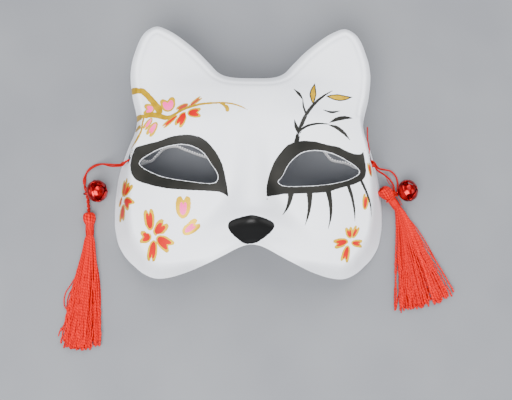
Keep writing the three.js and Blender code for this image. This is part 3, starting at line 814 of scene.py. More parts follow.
@dataclass
class MaskForm:
    """Height of the mask's outer surface over its plan, with the same values as the part."""

    fold_x: float = 75.0
    fullness: float = 2.4
    crease_depth: float = 0.8
    crease_inset: float = 5.5
    crease_width: float = 1.4
    crease_from_y: float = 20.0
    steps: int = 12
    centre_line: Knots = (
        (-86, 41), (-64, 47), (-45, 52), (-25, 55.5), (0, 58), (20, 57), (34, 52.5), (45, 47),
        (60, 42.5), (84, 41),
    )
    fold_line: Knots = (
        (-86, 23), (-70, 28), (-50, 34), (-25, 37.5), (0, 39), (20, 41), (40, 42), (60, 42), (84, 40.5),
    )
    muzzle_height: Knots = (
        (-86, 3), (-68, 5), (-63, 7.5), (-58, 12), (-54, 14.5), (-49, 14.5), (-40, 12), (-28, 8), (-14, 4),
        (0, 1.5), (14, 0),
    )
    muzzle_width: Knots = (
        (-86, 56), (-66, 46), (-54, 37), (-45, 28), (-33, 18), (-15, 13), (0, 11), (14, 11)
    )
    swellings: Sequence[Swelling] = (
        Swelling(40, 14, 22, 9, 1.8),
        Swelling(45, -7, 24, 12, -2.6),
        Swelling(52, -40, 22, 18, 1.5),
        Swelling(0, -50.5, 12, 6.5, 4.5),
    )
    half_outline: Sequence[RimPoint] = (
        rolled(0, 44.7, 4.5), rolled(13, 45.3, 4.5), rolled(20.8, 48.6, 5), rolled(27.6, 56.2, 5),
        rolled(35.8, 65, 5), rolled(46.5, 73.8, 5), rolled(54, 78.5, 5), rolled(61.3, 81, 5),
        rolled(67.6, 78, 5), rolled(71.4, 72.8, 5), rolled(74.5, 65, 6), rolled(76.7, 56.5, 6),
        rolled(77.6, 47, 7), rolled(76.2, 34, 8, 5), rolled(73.9, 24.5, 9, 5, 0.2),
        walled(73.4, 18.4, 28, 5, 0.3), walled(75.2, 12.4, 23.5, 6, 0.5), walled(78.9, 6.3, 16.5, 8),
        walled(82.8, 0, 7, 10), walled(85.8, -7, 0.8, 12), walled(87.4, -14, 0, 13), walled(88.8, -27, 0, 14),
        walled(89, -41, 0, 14.5), walled(88.2, -49, 0, 14.5), walled(85.8, -58, 2, 14),
        walled(81, -66, 5, 13.5, 0.5), walled(75.2, -72, 8.5, 12, 0.5), walled(68.5, -77.5, 12, 10.5, 0.4),
        walled(60.5, -80.8, 15, 9, 0.4), walled(51, -80.4, 18.5, 8, 0.3), walled(39, -77.4, 26, 6, 0.2),
        rolled(27.5, -74, 3.2, 4), rolled(18, -69.8, 1.6, 3), rolled(10.5, -66.2, 1.2, 3),
        rolled(5, -64.1, 1, 3), rolled(0, -63.4, 1, 3),
    )
    ear_tip: int = 7
    heel: int = 28

    def __post_init__(self) -> None:
        """Works out the closed outline once, in rows of x, y, rim height, band and straight share."""
        right = np.array(
            [(p.x, p.y, self._rim_height(p), p.band, p.straight) for p in self.half_outline], float
        )
        left = right[1:-1][::-1] * np.array([-1.0, 1.0, 1.0, 1.0, 1.0])
        self.controls = np.vstack([right, left])
        self.samples = self.outline_at(np.arange(0.0, len(self.controls), 1.0 / self.steps))

    def _rim_height(self, point: RimPoint) -> float:
        """The point's own height, or its drop below the face."""
        if math.isnan(point.drop):
            return point.z
        return float(self.face_height(np.array(point.x), np.array(point.y))) - point.drop

    def face_height(self, x: Array, y: Array) -> Array:
        """Height of the front before its edge is rolled down.

        It goes from the centre line to the fold line with the power of the distance across, plus the muzzle,
        whose section is the square of 1 less the square of the share of its width, plus the swellings.

        Args:
            x: Places across.
            y: Places along.

        Returns:
            Height at each place.
        """
        side = np.abs(x)
        across = (side / self.fold_x) ** self.fullness
        z = smooth_line(self.centre_line, y) * (1.0 - across) + smooth_line(self.fold_line, y) * across
        t = np.minimum(side / smooth_line(self.muzzle_width, y), 1.0)
        z = z + smooth_line(self.muzzle_height, y) * (1.0 - t * t) ** 2
        for swelling in self.swellings:
            dx, dy = (side - swelling.x) / swelling.rx, (y - swelling.y) / swelling.ry
            z = z + swelling.z * np.exp(-dx * dx - dy * dy)
        return z

    def outline_at(self, s: Array) -> Array:
        """Closed uniform Catmull-Rom curve through the control points, at index positions s."""
        count = len(self.controls)
        i = np.floor(s).astype(int)
        t = (s - i)[:, None]
        a, b, c, d = (self.controls[(i + k) % count] for k in (-1, 0, 1, 2))
        return 0.5 * (
            2 * b + (c - a) * t + (2 * a - 5 * b + 4 * c - d) * t**2 + (3 * b - 3 * c + d - a) * t**3
        )

    def stretch(self, start: float, end: float, shares: Array) -> Array:
        """Points of x, y and rim height at shares of the outline's length between two control points."""
        fine = self.outline_at(np.linspace(start, end, 1500))[:, :3]
        run = np.concatenate([[0.0], np.cumsum(np.linalg.norm(np.diff(fine, axis=0), axis=1))])
        return np.stack([np.interp(shares * run[-1], run, column) for column in fine.T], axis=-1)

    def height(self, x: Array, y: Array) -> Array:
        """Height of the outer surface.

        From the rim it rises to the face over the band: straight at first, then as a parabola that ends level
        with the face. A shallow crease follows the edge round the ears and the forehead.

        Args:
            x: Places across.
            y: Places along.

        Returns:
            Height at each place.
        """
        places = np.stack([np.ravel(x), np.ravel(y)], axis=-1)
        ends = np.roll(self.samples, -1, axis=0)
        found, share, distance = nearest_segment(places, self.samples[:, :2], ends[:, :2])
        edge = self.samples[found] * (1.0 - share[:, None]) + ends[found] * share[:, None]
        rim, band, straight = edge[:, 2], edge[:, 3], edge[:, 4]
        t = np.clip(distance / band, 0.0, 1.0)
        slope = 2.0 / (1.0 + straight)
        rise = np.where(t < straight, slope * t, 1.0 - slope * (1.0 - t) ** 2 / (2.0 * (1.0 - straight)))
        face = self.face_height(places[:, 0], places[:, 1])
        away = (distance - self.crease_inset) / self.crease_width
        crease = np.where(places[:, 1] > self.crease_from_y, self.crease_depth * np.exp(-away * away), 0.0)
        return (rim + (face - rim) * rise - crease).reshape(np.shape(x))


def nearest_segment(places: Array, starts: Array, ends: Array) -> tuple[Array, Array, Array]:
    """The segment nearest to each place, worked out block by block to save memory.

    The share along a segment is the dot product of the way to the place with the segment, over its length
    squared.

    Args:
        places: Places in plan.
        starts: Where each segment starts.
        ends: Where each ends.

    Returns:
        The index of the nearest segment, the share along it, and the distance.
    """
    way = ends - starts
    square = np.maximum((way**2).sum(1), 1e-12)
    index = np.empty(len(places), int)
    share = np.empty(len(places))
    distance = np.empty(len(places))
    for first in range(0, len(places), CHUNK):
        block = slice(first, first + CHUNK)
        off_x = places[block, 0, None] - starts[None, :, 0]
        off_y = places[block, 1, None] - starts[None, :, 1]
        t = np.clip((off_x * way[:, 0] + off_y * way[:, 1]) / square, 0.0, 1.0)
        gap = np.hypot(off_x - way[:, 0] * t, off_y - way[:, 1] * t)
        found = gap.argmin(1)
        rows = np.arange(len(found))
        index[block], share[block], distance[block] = found, t[rows, found], gap[rows, found]
    return index, share, distance


def inside_outline(places: Array, outline: Array) -> Array:
    """Whether each place is inside a closed outline: a ray to the right crosses it an odd number of times."""
    a, b = outline, np.roll(outline, -1, axis=0)
    inside = np.zeros(len(places), bool)
    for (ax, ay), (bx, by) in zip(a, b):
        crosses = (ay > places[:, 1]) != (by > places[:, 1])
        if ay != by:
            inside ^= crosses & (places[:, 0] < (bx - ax) * (places[:, 1] - ay) / (by - ay) + ax)
    return inside


def signed_distance(places: Array, outline: Array) -> Array:
    """Distance of each place from a closed outline, negative inside it."""
    _, _, distance = nearest_segment(places, outline, np.roll(outline, -1, axis=0))
    return np.where(inside_outline(places, outline), -distance, distance)


@dataclass(frozen=True)
class Petal:
    """A painted petal from its base to the middle between its tips, with its width, the distance between its
    tips, the width of its gold border and the colour of its fill."""

    base_x: float
    base_y: float
    tip_x: float
    tip_y: float
    width: float
    tips: float
    border: float
    fill: int


RED = 0
PINK = 1
FADED = 2


@dataclass(frozen=True)
class Stroke:
    """A brush stroke: (x, y, width) places that its middle line runs through."""

    places: Sequence[tuple[float, float, float]]
    count: int = 24

    def fine(self) -> Array:
        """Its line as close points of x, y and width."""
        return curve_through(self.places, self.count)


@dataclass
class MaskPaint:
    """The painted marks, in plan, and how they reach the mesh."""

    left_ring: Sequence[tuple[float, float]] = (
        (-73, -0.3), (-66.2, 0.8), (-58.4, 2), (-51.1, 4), (-45.1, 4.7), (-39.9, 4.7),
        (-34.1, 3.6), (-28.8, 0.9),
        (-24.5, -3.6), (-21, -8.8), (-18.2, -14.8), (-15.8, -25), (-14.3, -34.9), (-16.7, -32.8),
        (-19.6, -31.4),
        (-28.4, -30.6), (-43.1, -29.5), (-55.1, -27.7), (-66.1, -24.2), (-72.4, -21.1), (-75.4, -16.5),
        (-76.4, -10.6), (-75.3, -5.3),
    )
    right_ring: Sequence[tuple[float, float]] = (
        (8.5, -35.3), (8.6, -29), (10.5, -20.4), (13.7, -12.4), (17.8, -6.4), (21.5, -2.2), (23.8, -0.9),
        (28.4, 0.7), (33.1, 1.4), (40.1, 1.2), (46.2, 0.1), (54.4, -0.8), (59.3, -2.6), (65.2, -4.1),
        (69.7, -3.6), (71.2, -2), (72.2, -6.8), (72.9, -12.5), (72.8, -16.3), (71.4, -19.3), (66.3, -22.9),
        (54, -27.5), (46.8, -30.1), (30.6, -31.7), (17.8, -32.6),
    )
    nose: Sequence[tuple[float, float]] = (
        (-14.8, -53.2), (-13.8, -55.9), (-11.9, -58.1), (-7.7, -61.4), (-5.2, -62.8),
        (-1.8, -63.2), (2.9, -62.4),
        (5.8, -60.8), (9.8, -58), (12.4, -55.3), (13.3, -52.9), (12, -51), (9.6, -50), (5, -48.8),
        (-0.6, -47.9),
        (-7.8, -48.9), (-12.5, -50.1), (-14.2, -51.3),
    )
    branches: Sequence[Stroke] = (
        Stroke(((-76.6, 37.5, 3.6), (-72.5, 35.8, 3.7), (-69.6, 35.4, 3.7), (-66.2, 32.4, 3.6),
                (-63.1, 28.7, 3.7),
                (-60.3, 25.1, 4), (-58.2, 21.7, 4.4), (-57.9, 17.8, 4))),
        Stroke(((-73.2, 20.3, 3), (-68.5, 17.9, 3.2), (-64.9, 18.9, 3.6), (-61.3, 18.6, 3.6),
                (-57.7, 17.5, 3.4),
                (-53.4, 15.9, 3), (-50.3, 16.5, 2.3), (-46.6, 18.6, 1.8), (-42.4, 20.9, 1.8),
                (-37.6, 22.5, 1.7),
                (-31.4, 24.1, 1.6), (-23.8, 24.7, 1.3), (-16.6, 24.7, 1.2), (-12.8, 24.2, 1.1),
                (-7.3, 22.4, 0.9),
                (-3, 20, 0.24)), 48),
        Stroke(((-20.5, 24.6, 0.48), (-17.6, 23.6, 2.2), (-15.8, 21.6, 2.6), (-15.4, 19.6, 2.3)), 12),
        Stroke(((-73, 13.2, 3), (-69.4, 11.5, 3.2)), 4),
        Stroke(((-67.9, 17.1, 1.2), (-68.7, 13.4, 1.2), (-69.2, 9.9, 1.2), (-71.2, 6, 1.6), (-73.7, 3, 1.8),
                (-76.4, 1.4, 1.4))),
    )
    petals: Sequence[Petal] = (
        Petal(-51.4, 19.8, -53.3, 29.3, 9.2, 6.0, 1.4, PINK),
        Petal(-60.8, 22.4, -68.0, 23.1, 6.8, 4.1, 1.2, PINK),
        Petal(-62.3, 16.7, -67.5, 10.1, 3.9, 1.2, 1.1, PINK),
        Petal(-59.3, 13.7, -64.8, 5.9, 5.4, 2.1, 1.3, PINK),
        Petal(-40.2, 18.0, -31.8, 18.2, 6.4, 4.7, 1.0, RED),
        Petal(-41.3, 18.8, -46.2, 9.9, 5.9, 3.0, 1.0, RED),
        Petal(-46.3, 16.9, -55.4, 10.2, 3.1, 1.1, 0.8, RED),
        Petal(-39.8, 24.5, -46.8, 20.3, 4.1, 1.1, 0.8, FADED),
        Petal(-39.6, 22.2, -31.7, 29.0, 2.9, 1.2, 0.8, FADED),
        Petal(-62.5, -53.3, -64.1, -40.4, 6.7, 3.1, 1.4, RED),
        Petal(-60.1, -56.1, -53.1, -48.6, 7.9, 3.6, 1.4, RED),
        Petal(-61.9, -57.5, -69.3, -56.8, 7.2, 5.2, 1.2, RED),
        Petal(-58.7, -57.4, -49.5, -64.3, 7.7, 6.2, 1.2, RED),
        Petal(-60.3, -59.2, -62.4, -71.8, 6.3, 2.5, 1.2, RED),
        Petal(-81.8, -28.8, -80.2, -18.1, 4.9, 2.1, 1.3, RED),
        Petal(-80.9, -29.5, -75.6, -23.2, 5.8, 2.7, 1.3, RED),
        Petal(-80.8, -31.2, -75.1, -37.7, 6.1, 6.0, 1.0, RED),
        Petal(-83.0, -28.0, -84.8, -34.0, 3.2, 0.9, 0.9, RED),
        Petal(-81.8, -33.7, -82.9, -44.3, 5.2, 2.5, 1.1, RED),
        Petal(-42.4, -47.0, -41.9, -33.5, 9.1, 4.1, 2.4, PINK),
        Petal(-42.3, -56.0, -32.7, -49.2, 7.3, 3.0, 2.0, PINK),
        Petal(62.2, -57.5, 60.7, -50.7, 5.1, 2.7, 1.2, RED),
        Petal(63.6, -57.1, 67.0, -49.8, 4.0, 1.9, 1.2, RED),
        Petal(60.8, -59.1, 51.5, -61.7, 5.6, 3.6, 1.2, RED),
        Petal(62.9, -60.1, 70.4, -60.2, 4.7, 3.4, 1.1, RED),
        Petal(60.9, -61.7, 58.4, -71.8, 5.2, 3.8, 1.2, RED),
        Petal(71.6, -39.2, 72.9, -29.0, 4.5, 1.8, 1.2, RED),
        Petal(76.8, -17.2, 74.9, -8.6, 3.3, 0.9, 0.9, RED),
    )
    sprig: Sequence[Stroke] = (
        Stroke(((27, -1, 3), (29.5, 8, 2.6), (33.5, 17.5, 2.3), (39.5, 26, 1.9), (46.5, 32.5, 1.2),
                (51, 35.5, 0.4))),
        Stroke(((29.4, 7.5, 1.6), (34.5, 10.5, 1.5), (41.5, 12.2, 1.2), (48, 12.4, 0.5)), 14),
        Stroke(((33.6, 17.6, 1.4), (32, 23, 1.2), (31.8, 28.5, 0.5)), 10),
        Stroke(((26, 14, 0.3), (27, 10, 2.1), (28.3, 7, 2.2), (29, 5, 0.6)), 12),
        Stroke(((48.5, 13.5, 0.5), (53, 16, 2.5), (58.5, 17.8, 2.4), (64, 18.2, 0.3)), 14),
        Stroke(((47.5, 12, 0.4), (53, 10.8, 2.3), (58, 8, 2.1), (62, 4.2, 0.3)), 14),
        Stroke(((31.8, 28, 0.4), (29.6, 32, 2), (26.4, 35.5, 0.3)), 10),
        Stroke(((44.5, 21.5, 0.4), (50, 20.5, 1.6), (55.5, 22, 0.3)), 10),
    )
    lashes: Sequence[Stroke] = (
        Stroke(((24, -31, 4), (23.2, -36, 2.6), (21.4, -41, 1.5), (18.6, -45.5, 0.2))),
        Stroke(((35.5, -31, 3.8), (35.6, -38, 2.5), (34.6, -45, 1.4), (32.8, -51, 0.2))),
        Stroke(((47.5, -29.5, 3.6), (48.8, -37, 2.6), (49, -45, 1.5), (47.6, -52.5, 0.2))),
        Stroke(((60.5, -24.5, 2.6), (63, -32, 2), (64.6, -40, 1.3), (65, -47, 0.2))),
        Stroke(((69.2, -20.5, 2), (72.8, -27.5, 1.7), (75.6, -35, 1.2), (76.6, -43, 0.2))),
    )
    leaves: Sequence[Stroke] = (
        Stroke(((38.4, 25, 0.4), (38.2, 28.5, 3), (38.4, 32, 4.4), (39, 35.8, 3.3), (40, 40.5, 0.2)), 20),
        Stroke(((47, 31.5, 0.4), (50.5, 31.2, 3.1), (54.5, 31.1, 4.6), (59, 31.3, 3.4), (64, 32.3, 0.2)), 20),
    )

    def lay(self, mesh: bpy.types.Mesh, points: Array, triangles: Array, cuts: Sequence[Array]) -> None:
        """Writes every mark to the mesh's corners.

        A mark's place is a linear function of plan position within each triangle, so the mark's edge stays
        sharp however coarse the mesh is.

        Args:
            mesh: Mesh whose first faces are the painted triangles.
            points: Points of the outer surface.
            triangles: The painted triangles.
            cuts: Outlines of the openings, round which the cut edge is left bare.
        """
        corners = points[triangles][:, :, :2]
        centres = corners.mean(1)
        rings = [curve_like(self.left_ring), curve_like(self.right_ring)]
        values = {
            "ring_edge": np.minimum(*(outline_offset(corners, centres, ring) for ring in rings))[..., None],
            "nose_edge": outline_offset(corners, centres, curve_through(self.nose, 90, True))[..., None],
            "cut_edge": np.minimum(*(outline_offset(corners, centres, cut) for cut in cuts))[..., None],
            "branch": stroke_places(corners, centres, self.branches),
            "ink": stroke_places(corners, centres, (*self.sprig, *self.lashes)),
            "gold_leaf": stroke_places(corners, centres, self.leaves),
        }
        values.update(self._petal_places(corners, centres))
        for name, data in values.items():
            kind, field_name = ("FLOAT", "value") if data.shape[-1] == 1 else ("FLOAT_VECTOR", "vector")
            layer = mesh.attributes.new(name, kind, "CORNER")
            full = np.zeros((len(mesh.loops), data.shape[-1]), np.float32)
            full[: data.shape[0] * 3] = data.reshape(-1, data.shape[-1])
            layer.data.foreach_set(field_name, full.ravel())

    def _petal_places(self, corners: Array, centres: Array) -> dict[str, Array]:
        """Each triangle's nearest petal, and where its corners are in it.

        u is the share of the way from base to tips, and v is the distance from the petal's middle line over
        its half width. The fill has its own u and v, drawn in from the border.

        Args:
            corners: Corners of the triangles in plan.
            centres: Their middles.

        Returns:
            Values for the corners by attribute name.
        """
        rows = np.array(
            [(p.base_x, p.base_y, p.tip_x, p.tip_y, p.width, p.tips, p.border, p.fill) for p in self.petals],
            float,
        )
        base, tip = rows[:, :2], rows[:, 2:4]
        half, tips, border, fill = rows[:, 4] / 2, rows[:, 5], rows[:, 6], rows[:, 7]
        way = tip - base
        length = np.linalg.norm(way, axis=1)
        way = way / length[:, None]
        shares = np.clip(((centres[:, None] - base) * way).sum(-1), 0.0, length)
        gaps = np.linalg.norm(centres[:, None] - base - way * shares[..., None], axis=-1) - half
        k = gaps.argmin(1)
        off = corners - base[k][:, None]
        along = (off * way[k][:, None]).sum(-1)
        across = off[..., 0] * -way[k][:, None, 1] + off[..., 1] * way[k][:, None, 0]
        near = gaps[np.arange(len(k)), k] < 2.0
        u = np.where(near[:, None], along / length[k][:, None], -1.0)
        v = across / half[k][:, None]
        flare = np.broadcast_to((0.75 * tips / (2 * half))[k][:, None], u.shape)
        foot, head = 0.85 * border, 1.5 * border
        fill_u = np.where(
            near[:, None], (along - foot[k][:, None]) / (length - foot - head)[k][:, None], -1.0
        )
        fill_v = across / (half - border)[k][:, None]
        return {
            "petal": np.stack([u, v, flare], axis=-1),
            "petal_fill": np.stack([fill_u, fill_v, flare], axis=-1),
            "petal_colour": np.broadcast_to(fill[k][:, None, None], (*u.shape, 1)),
        }


def curve_like(points: Sequence[tuple[float, float]]) -> Array:
    """The closed outline with its sharp corners kept: each stretch between two of them is a curve.

    A corner is a point where the outline turns by more than 55 degrees.
    """
    p = np.array(points, float)
    before, after = unit(p - np.roll(p, 1, 0)), unit(np.roll(p, -1, 0) - p)
    sharp = np.nonzero((before * after).sum(1) < math.cos(math.radians(55.0)))[0]
    if len(sharp) < 2:
        return curve_through(points, 6 * len(p), True)
    parts = []
    for start, end in zip(sharp, np.roll(sharp, -1)):
        span = (end - start) % len(p)
        run = p[(start + np.arange(span + 1)) % len(p)]
        parts.append(curve_through(run, 6 * span + 1)[:-1])
    return np.vstack(parts)


def outline_offset(corners: Array, centres: Array, outline: Array) -> Array:
    """Distance of each corner from a closed outline, negative inside.

    Near the outline it is the distance to the line of the side that is nearest to the triangle's middle, and
    elsewhere one distance for the whole triangle. Beside a sharp corner of the outline it is the larger of
    the distances to both sides' lines where the outline bulges there, and the smaller one where it is hollow.

    Args:
        corners: Corners of the triangles in plan.
        centres: Their middles.
        outline: Points of the outline.

    Returns:
        One value a corner.
    """
    ends = np.roll(outline, -1, axis=0)
    k, _, distance = nearest_segment(centres, outline, ends)
    sign = np.where(inside_outline(centres, outline), -1.0, 1.0)
    way = unit(ends - outline)
    area = float((outline[:, 0] * ends[:, 1] - ends[:, 0] * outline[:, 1]).sum())
    facing = -1.0 if area > 0 else 1.0

    def beside(rows: Array, side: Array) -> Array:
        """Distance of the rows' corners from the line of a side, outwards."""
        off = corners[rows] - outline[side][..., None, :]
        return facing * (off[..., 1] * way[side][..., None, 0] - off[..., 0] * way[side][..., None, 1])

    every = np.arange(len(corners))
    offset = np.where((distance < 1.5)[:, None], beside(every, k), (sign * distance)[:, None])
    before = np.roll(way, 1, axis=0)
    bend = -facing * (before[:, 0] * way[:, 1] - before[:, 1] * way[:, 0])
    for at in np.nonzero((before * way).sum(1) < math.cos(math.radians(35.0)))[0]:
        near = np.nonzero(np.linalg.norm(centres - outline[at], axis=1) < 1.2)[0]
        pick = np.maximum if bend[at] > 0 else np.minimum
        offset[near] = pick(beside(near, np.full(len(near), at - 1)), beside(near, np.full(len(near), at)))
    return offset


def stroke_places(corners: Array, centres: Array, strokes: Sequence[Stroke]) -> Array:
    """Where each corner is on the stroke nearest to its triangle: across its line, its half width there, and
    how far past its end.

    Args:
        corners: Corners of the triangles in plan.
        centres: Their middles.
        strokes: The strokes.

    Returns:
        Three values a corner. The half width is negative more than 4 mm away from every stroke.
    """
    lines = [stroke.fine() for stroke in strokes]
    starts = np.vstack([line[:-1] for line in lines])
    ends = np.vstack([line[1:] for line in lines])
    first = np.concatenate([np.arange(len(line) - 1) == 0 for line in lines])
    last = np.concatenate([np.arange(len(line) - 1) == len(line) - 2 for line in lines])
    k, _, distance = nearest_segment(centres, starts[:, :2], ends[:, :2])
    way = ends[:, :2] - starts[:, :2]
    length = np.linalg.norm(way, axis=1)
    way = (way / length[:, None])[k]
    off = corners - starts[k][:, None, :2]
    along = (off * way[:, None]).sum(-1)
    across = off[..., 0] * -way[:, None, 1] + off[..., 1] * way[:, None, 0]
    share = along / length[k][:, None]
    half = 0.5 * (starts[k][:, None, 2] * (1.0 - share) + ends[k][:, None, 2] * share)
    middle = along.mean(1) < 0.5 * length[k]
    past = np.where((first[k] & middle)[:, None], -along, -1.0)
    past = np.where((last[k] & ~middle)[:, None], along - length[k][:, None], past)
    half = np.where((distance < 4.0)[:, None], half, -1.0)
    return np.stack([across, half, past], axis=-1)


def clip_triangles(data: Array, triangles: Array, value: Array) -> tuple[Array, Array]:
    """Cuts triangles along the line where a value at their corners is nought, and keeps the positive side.

    A new point on an edge is the mix of its ends where the value, taken as linear, is nought.

    Args:
        data: One row a point, all of whose columns are mixed alike.
        triangles: Index rows.
        value: One value a point.

    Returns:
        The rows with the new points at the end, and the triangles that are kept.
    """
    keep = value > 0.0
    corners = keep[triangles]
    count = corners.sum(1)
    one, two = triangles[count == 1], triangles[count == 2]
    odd_one = corners[count == 1].argmax(1)
    odd_two = (~corners[count == 2]).argmax(1)
    turn = np.arange(3)
    one = np.take_along_axis(one, (odd_one[:, None] + turn) % 3, 1)
    two = np.take_along_axis(two, (odd_two[:, None] + turn) % 3, 1)
    edges = np.vstack([one[:, [0, 1]], one[:, [0, 2]], two[:, [0, 1]], two[:, [0, 2]]])
    pairs, where = np.unique(np.sort(edges, axis=1), axis=0, return_inverse=True)
    where = np.ravel(where) + len(data)
    low, high = value[pairs[:, 0]], value[pairs[:, 1]]
    share = np.clip(low / (low - high), 0.04, 0.96)[:, None]
    added = data[pairs[:, 0]] * (1.0 - share) + data[pairs[:, 1]] * share
    n, m = len(one), len(two)
    one_b, one_c, two_b, two_c = where[:n], where[n:2 * n], where[2 * n:2 * n + m], where[2 * n + m:]
    made = [
        triangles[count == 3],
        np.stack([one[:, 0], one_b, one_c], 1),
        np.stack([two_b, two[:, 1], two[:, 2]], 1),
        np.stack([two_b, two[:, 2], two_c], 1),
    ]
    return np.vstack([data, added]), np.vstack(made)


def open_edges(triangles: Array) -> Array:
    """Edges that only one triangle has, in that triangle's own direction."""
    edges = np.vstack([triangles[:, [0, 1]], triangles[:, [1, 2]], triangles[:, [2, 0]]])
    _, first, count = np.unique(np.sort(edges, axis=1), axis=0, return_index=True, return_counts=True)
    return edges[first[count == 1]]


@dataclass
class MaskShell:
    """The moulded shell: a fine grid over the form, its wall, its eye openings and its slots."""

    form: MaskForm
    paint: MaskPaint
    columns: int = 250
    rows: int = 188
    wall: float = 1.2
    column_crowding: float = 0.5
    row_crowding: float = 0.4
    row_gap: float = 0.02
    straight_cut: float = 3.0
    left_eye: Sequence[tuple[float, float]] = (
        (-70.3, -10.6), (-61.2, -4.3), (-51.1, -1.4), (-41.1, -1.2), (-31.6, -5.4),
        (-25.2, -13.9), (-21, -21.5),
        (-22.4, -25.3), (-40.8, -24), (-58.9, -19.1),
    )
    right_eye: Sequence[tuple[float, float]] = (
        (16, -25), (18.4, -21.8), (23.3, -13), (31.7, -5.9), (43.4, -4.1), (56.8, -7.4), (68.4, -15.2),
        (62.9, -20.2), (49.2, -24.8), (30.6, -27.2), (18.5, -27),
    )
    slot: Sequence[tuple[float, float]] = (
        (75.6, 0.2), (77.2, -0.7), (78.4, -2.8), (79, -5.3), (79.3, -7.4), (78.6, -8.5),
        (77.1, -7.8), (76, -5.8),
        (75.3, -3.6), (75, -1.3),
    )

    def _shares(self, count: int, crowding: float) -> Array:
        """Shares from 0 to 1 that crowd towards both ends: t less a sine of the whole turn."""
        t = np.linspace(0.0, 1.0, count)
        return t - crowding * np.sin(2.0 * np.pi * t) / (2.0 * np.pi)

    def outer_grid(self) -> Array:
        """Points of the outer surface: four stretches of outline blended across, at the form's height.

        Returns:
            Rows by columns by three.
        """
        form, tip, heel = self.form, self.form.ear_tip, self.form.heel
        u, v = self._shares(self.columns, self.column_crowding), self._shares(self.rows, self.row_crowding)
        n = len(form.controls)
        top = form.stretch(n - tip, n + tip, u)[:, :2]
        bottom = form.stretch(n - heel, heel, u)[:, :2]
        right = form.stretch(heel, tip, v)[:, :2]
        left = form.stretch(n - heel, n - tip, v)[:, :2]
        uu, vv = u[None, :, None], v[:, None, None]
        sides = (1 - vv) * bottom[None] + vv * top[None] + (1 - uu) * left[:, None] + uu * right[:, None]
        ends = (1 - vv) * ((1 - uu) * bottom[0] + uu * bottom[-1]) + vv * ((1 - uu) * top[0] + uu * top[-1])
        plan = self._unfolded(sides - ends)
        z = np.maximum(form.height(plan[..., 0], plan[..., 1]), 0.0)
        return np.concatenate([plan, z[..., None]], axis=-1)

    def _unfolded(self, plan: Array) -> Array:
        """The plan with every row at least the row gap further in than the row outside it.

        Under the nose and between the ears the blended rows would run out past the outline and fold back.
        Counted in from the nearer edge, y less the gap times the row's number is held at its furthest so far.

        Args:
            plan: Rows by columns by two.

        Returns:
            The plan, whose first and last rows stay where they are.
        """
        middle = self.rows // 2
        rise = self.row_gap * np.arange(self.rows)[:, None]
        level = plan[..., 1] - rise
        level[:middle] = np.maximum.accumulate(level[:middle], axis=0)
        level[middle:] = np.minimum.accumulate(level[middle:][::-1], axis=0)[::-1]
        return np.stack([plan[..., 0], level + rise], axis=-1)

    def _normals(self, grid: Array) -> Array:
        """Outward unit normals: the cross product of the grid's two slopes.

        The two rows and columns next to each edge take the normals of the third.
        """
        normal = unit(np.cross(np.gradient(grid, axis=1), np.gradient(grid, axis=0)))
        rows = np.clip(np.arange(self.rows), 2, self.rows - 3)
        columns = np.clip(np.arange(self.columns), 2, self.columns - 3)
        return normal[rows][:, columns]

    def _inner_points(self, grid: Array, away: Array) -> Array:
        """Points of the inner surface, which lies the wall's thickness in along the normals.

        Near an opening the way in turns from the normal to straight down, because the opening is cut
        straight: sideways it keeps a share of the normal's own step, and it drops by
        (1 less that share of the square of the normal's flat part) over the normal's height.

        Args:
            grid: Points of the outer surface.
            away: Distance of each point from the nearest opening.

        Returns:
            One row a point.
        """
        normal = self._normals(grid).reshape(-1, 3)
        flat = normal[:, :2] * ease(away / self.straight_cut)[:, None]
        drop = (1.0 - (flat * normal[:, :2]).sum(1)) / np.maximum(normal[:, 2], 0.05)
        inner = grid.reshape(-1, 3) - self.wall * np.column_stack([flat, drop])
        inner[:, 2] = np.maximum(inner[:, 2], 0.0)
        return inner

    def build(self, palette: Palette) -> bpy.types.Object:
        """Makes the shell.

        The openings are clipped out of the outer and the inner surface together, and quads join the two along
        every open edge.

        Args:
            palette: Where its materials come from.

        Returns:
            The finished object.
        """
        grid = self.outer_grid()
        outer = grid.reshape(-1, 3)
        quads = grid_faces(self.rows, self.columns, False)
        triangles = np.vstack([quads[:, [0, 1, 2]], quads[:, [0, 2, 3]]])
        left_slot = [(-x, y) for x, y in self.slot]
        openings = (self.left_eye, self.right_eye, left_slot, self.slot)
        cuts = [curve_through(opening, 160, True) for opening in openings]
        away = np.min([signed_distance(outer[:, :2], cut) for cut in cuts], axis=0)
        data = np.hstack([outer, self._inner_points(grid, away)])
        for cut in cuts:
            data, triangles = clip_triangles(data, triangles, signed_distance(data[:, :2], cut))
        used, triangles = np.unique(triangles, return_inverse=True)
        data, triangles = data[used], triangles.reshape(-1, 3)
        total = len(data)
        edges = open_edges(triangles)
        rim = np.stack([edges[:, 1], edges[:, 0], edges[:, 0] + total, edges[:, 1] + total], axis=1)
        surface = Surface(
            np.vstack([data[:, :3], data[:, 3:]]), [triangles, triangles[:, ::-1] + total, rim]
        )
        materials = [palette.material(Finish.PAINTED), palette.material(Finish.BARE)]
        made = surface.to_object("mask_shell_painted", materials)
        slots = np.ones(len(made.data.polygons), np.int32)
        slots[: len(triangles)] = 0
        made.data.polygons.foreach_set("material_index", slots)
        self.paint.lay(made.data, data[:, :3], triangles, cuts[:2])
        place_piece(made, "shell_plastic", "mask_shell")
        return made


def place_piece(made: bpy.types.Object, slot: str, *nodes: str) -> None:
    """Rides a piece on the body, hides the nodes that it stands for, and logs its face count."""
    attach(made, BODY)
    if nodes:
        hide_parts(*nodes)
    LOG.info("%s: %d faces", made.name, len(made.data.polygons))


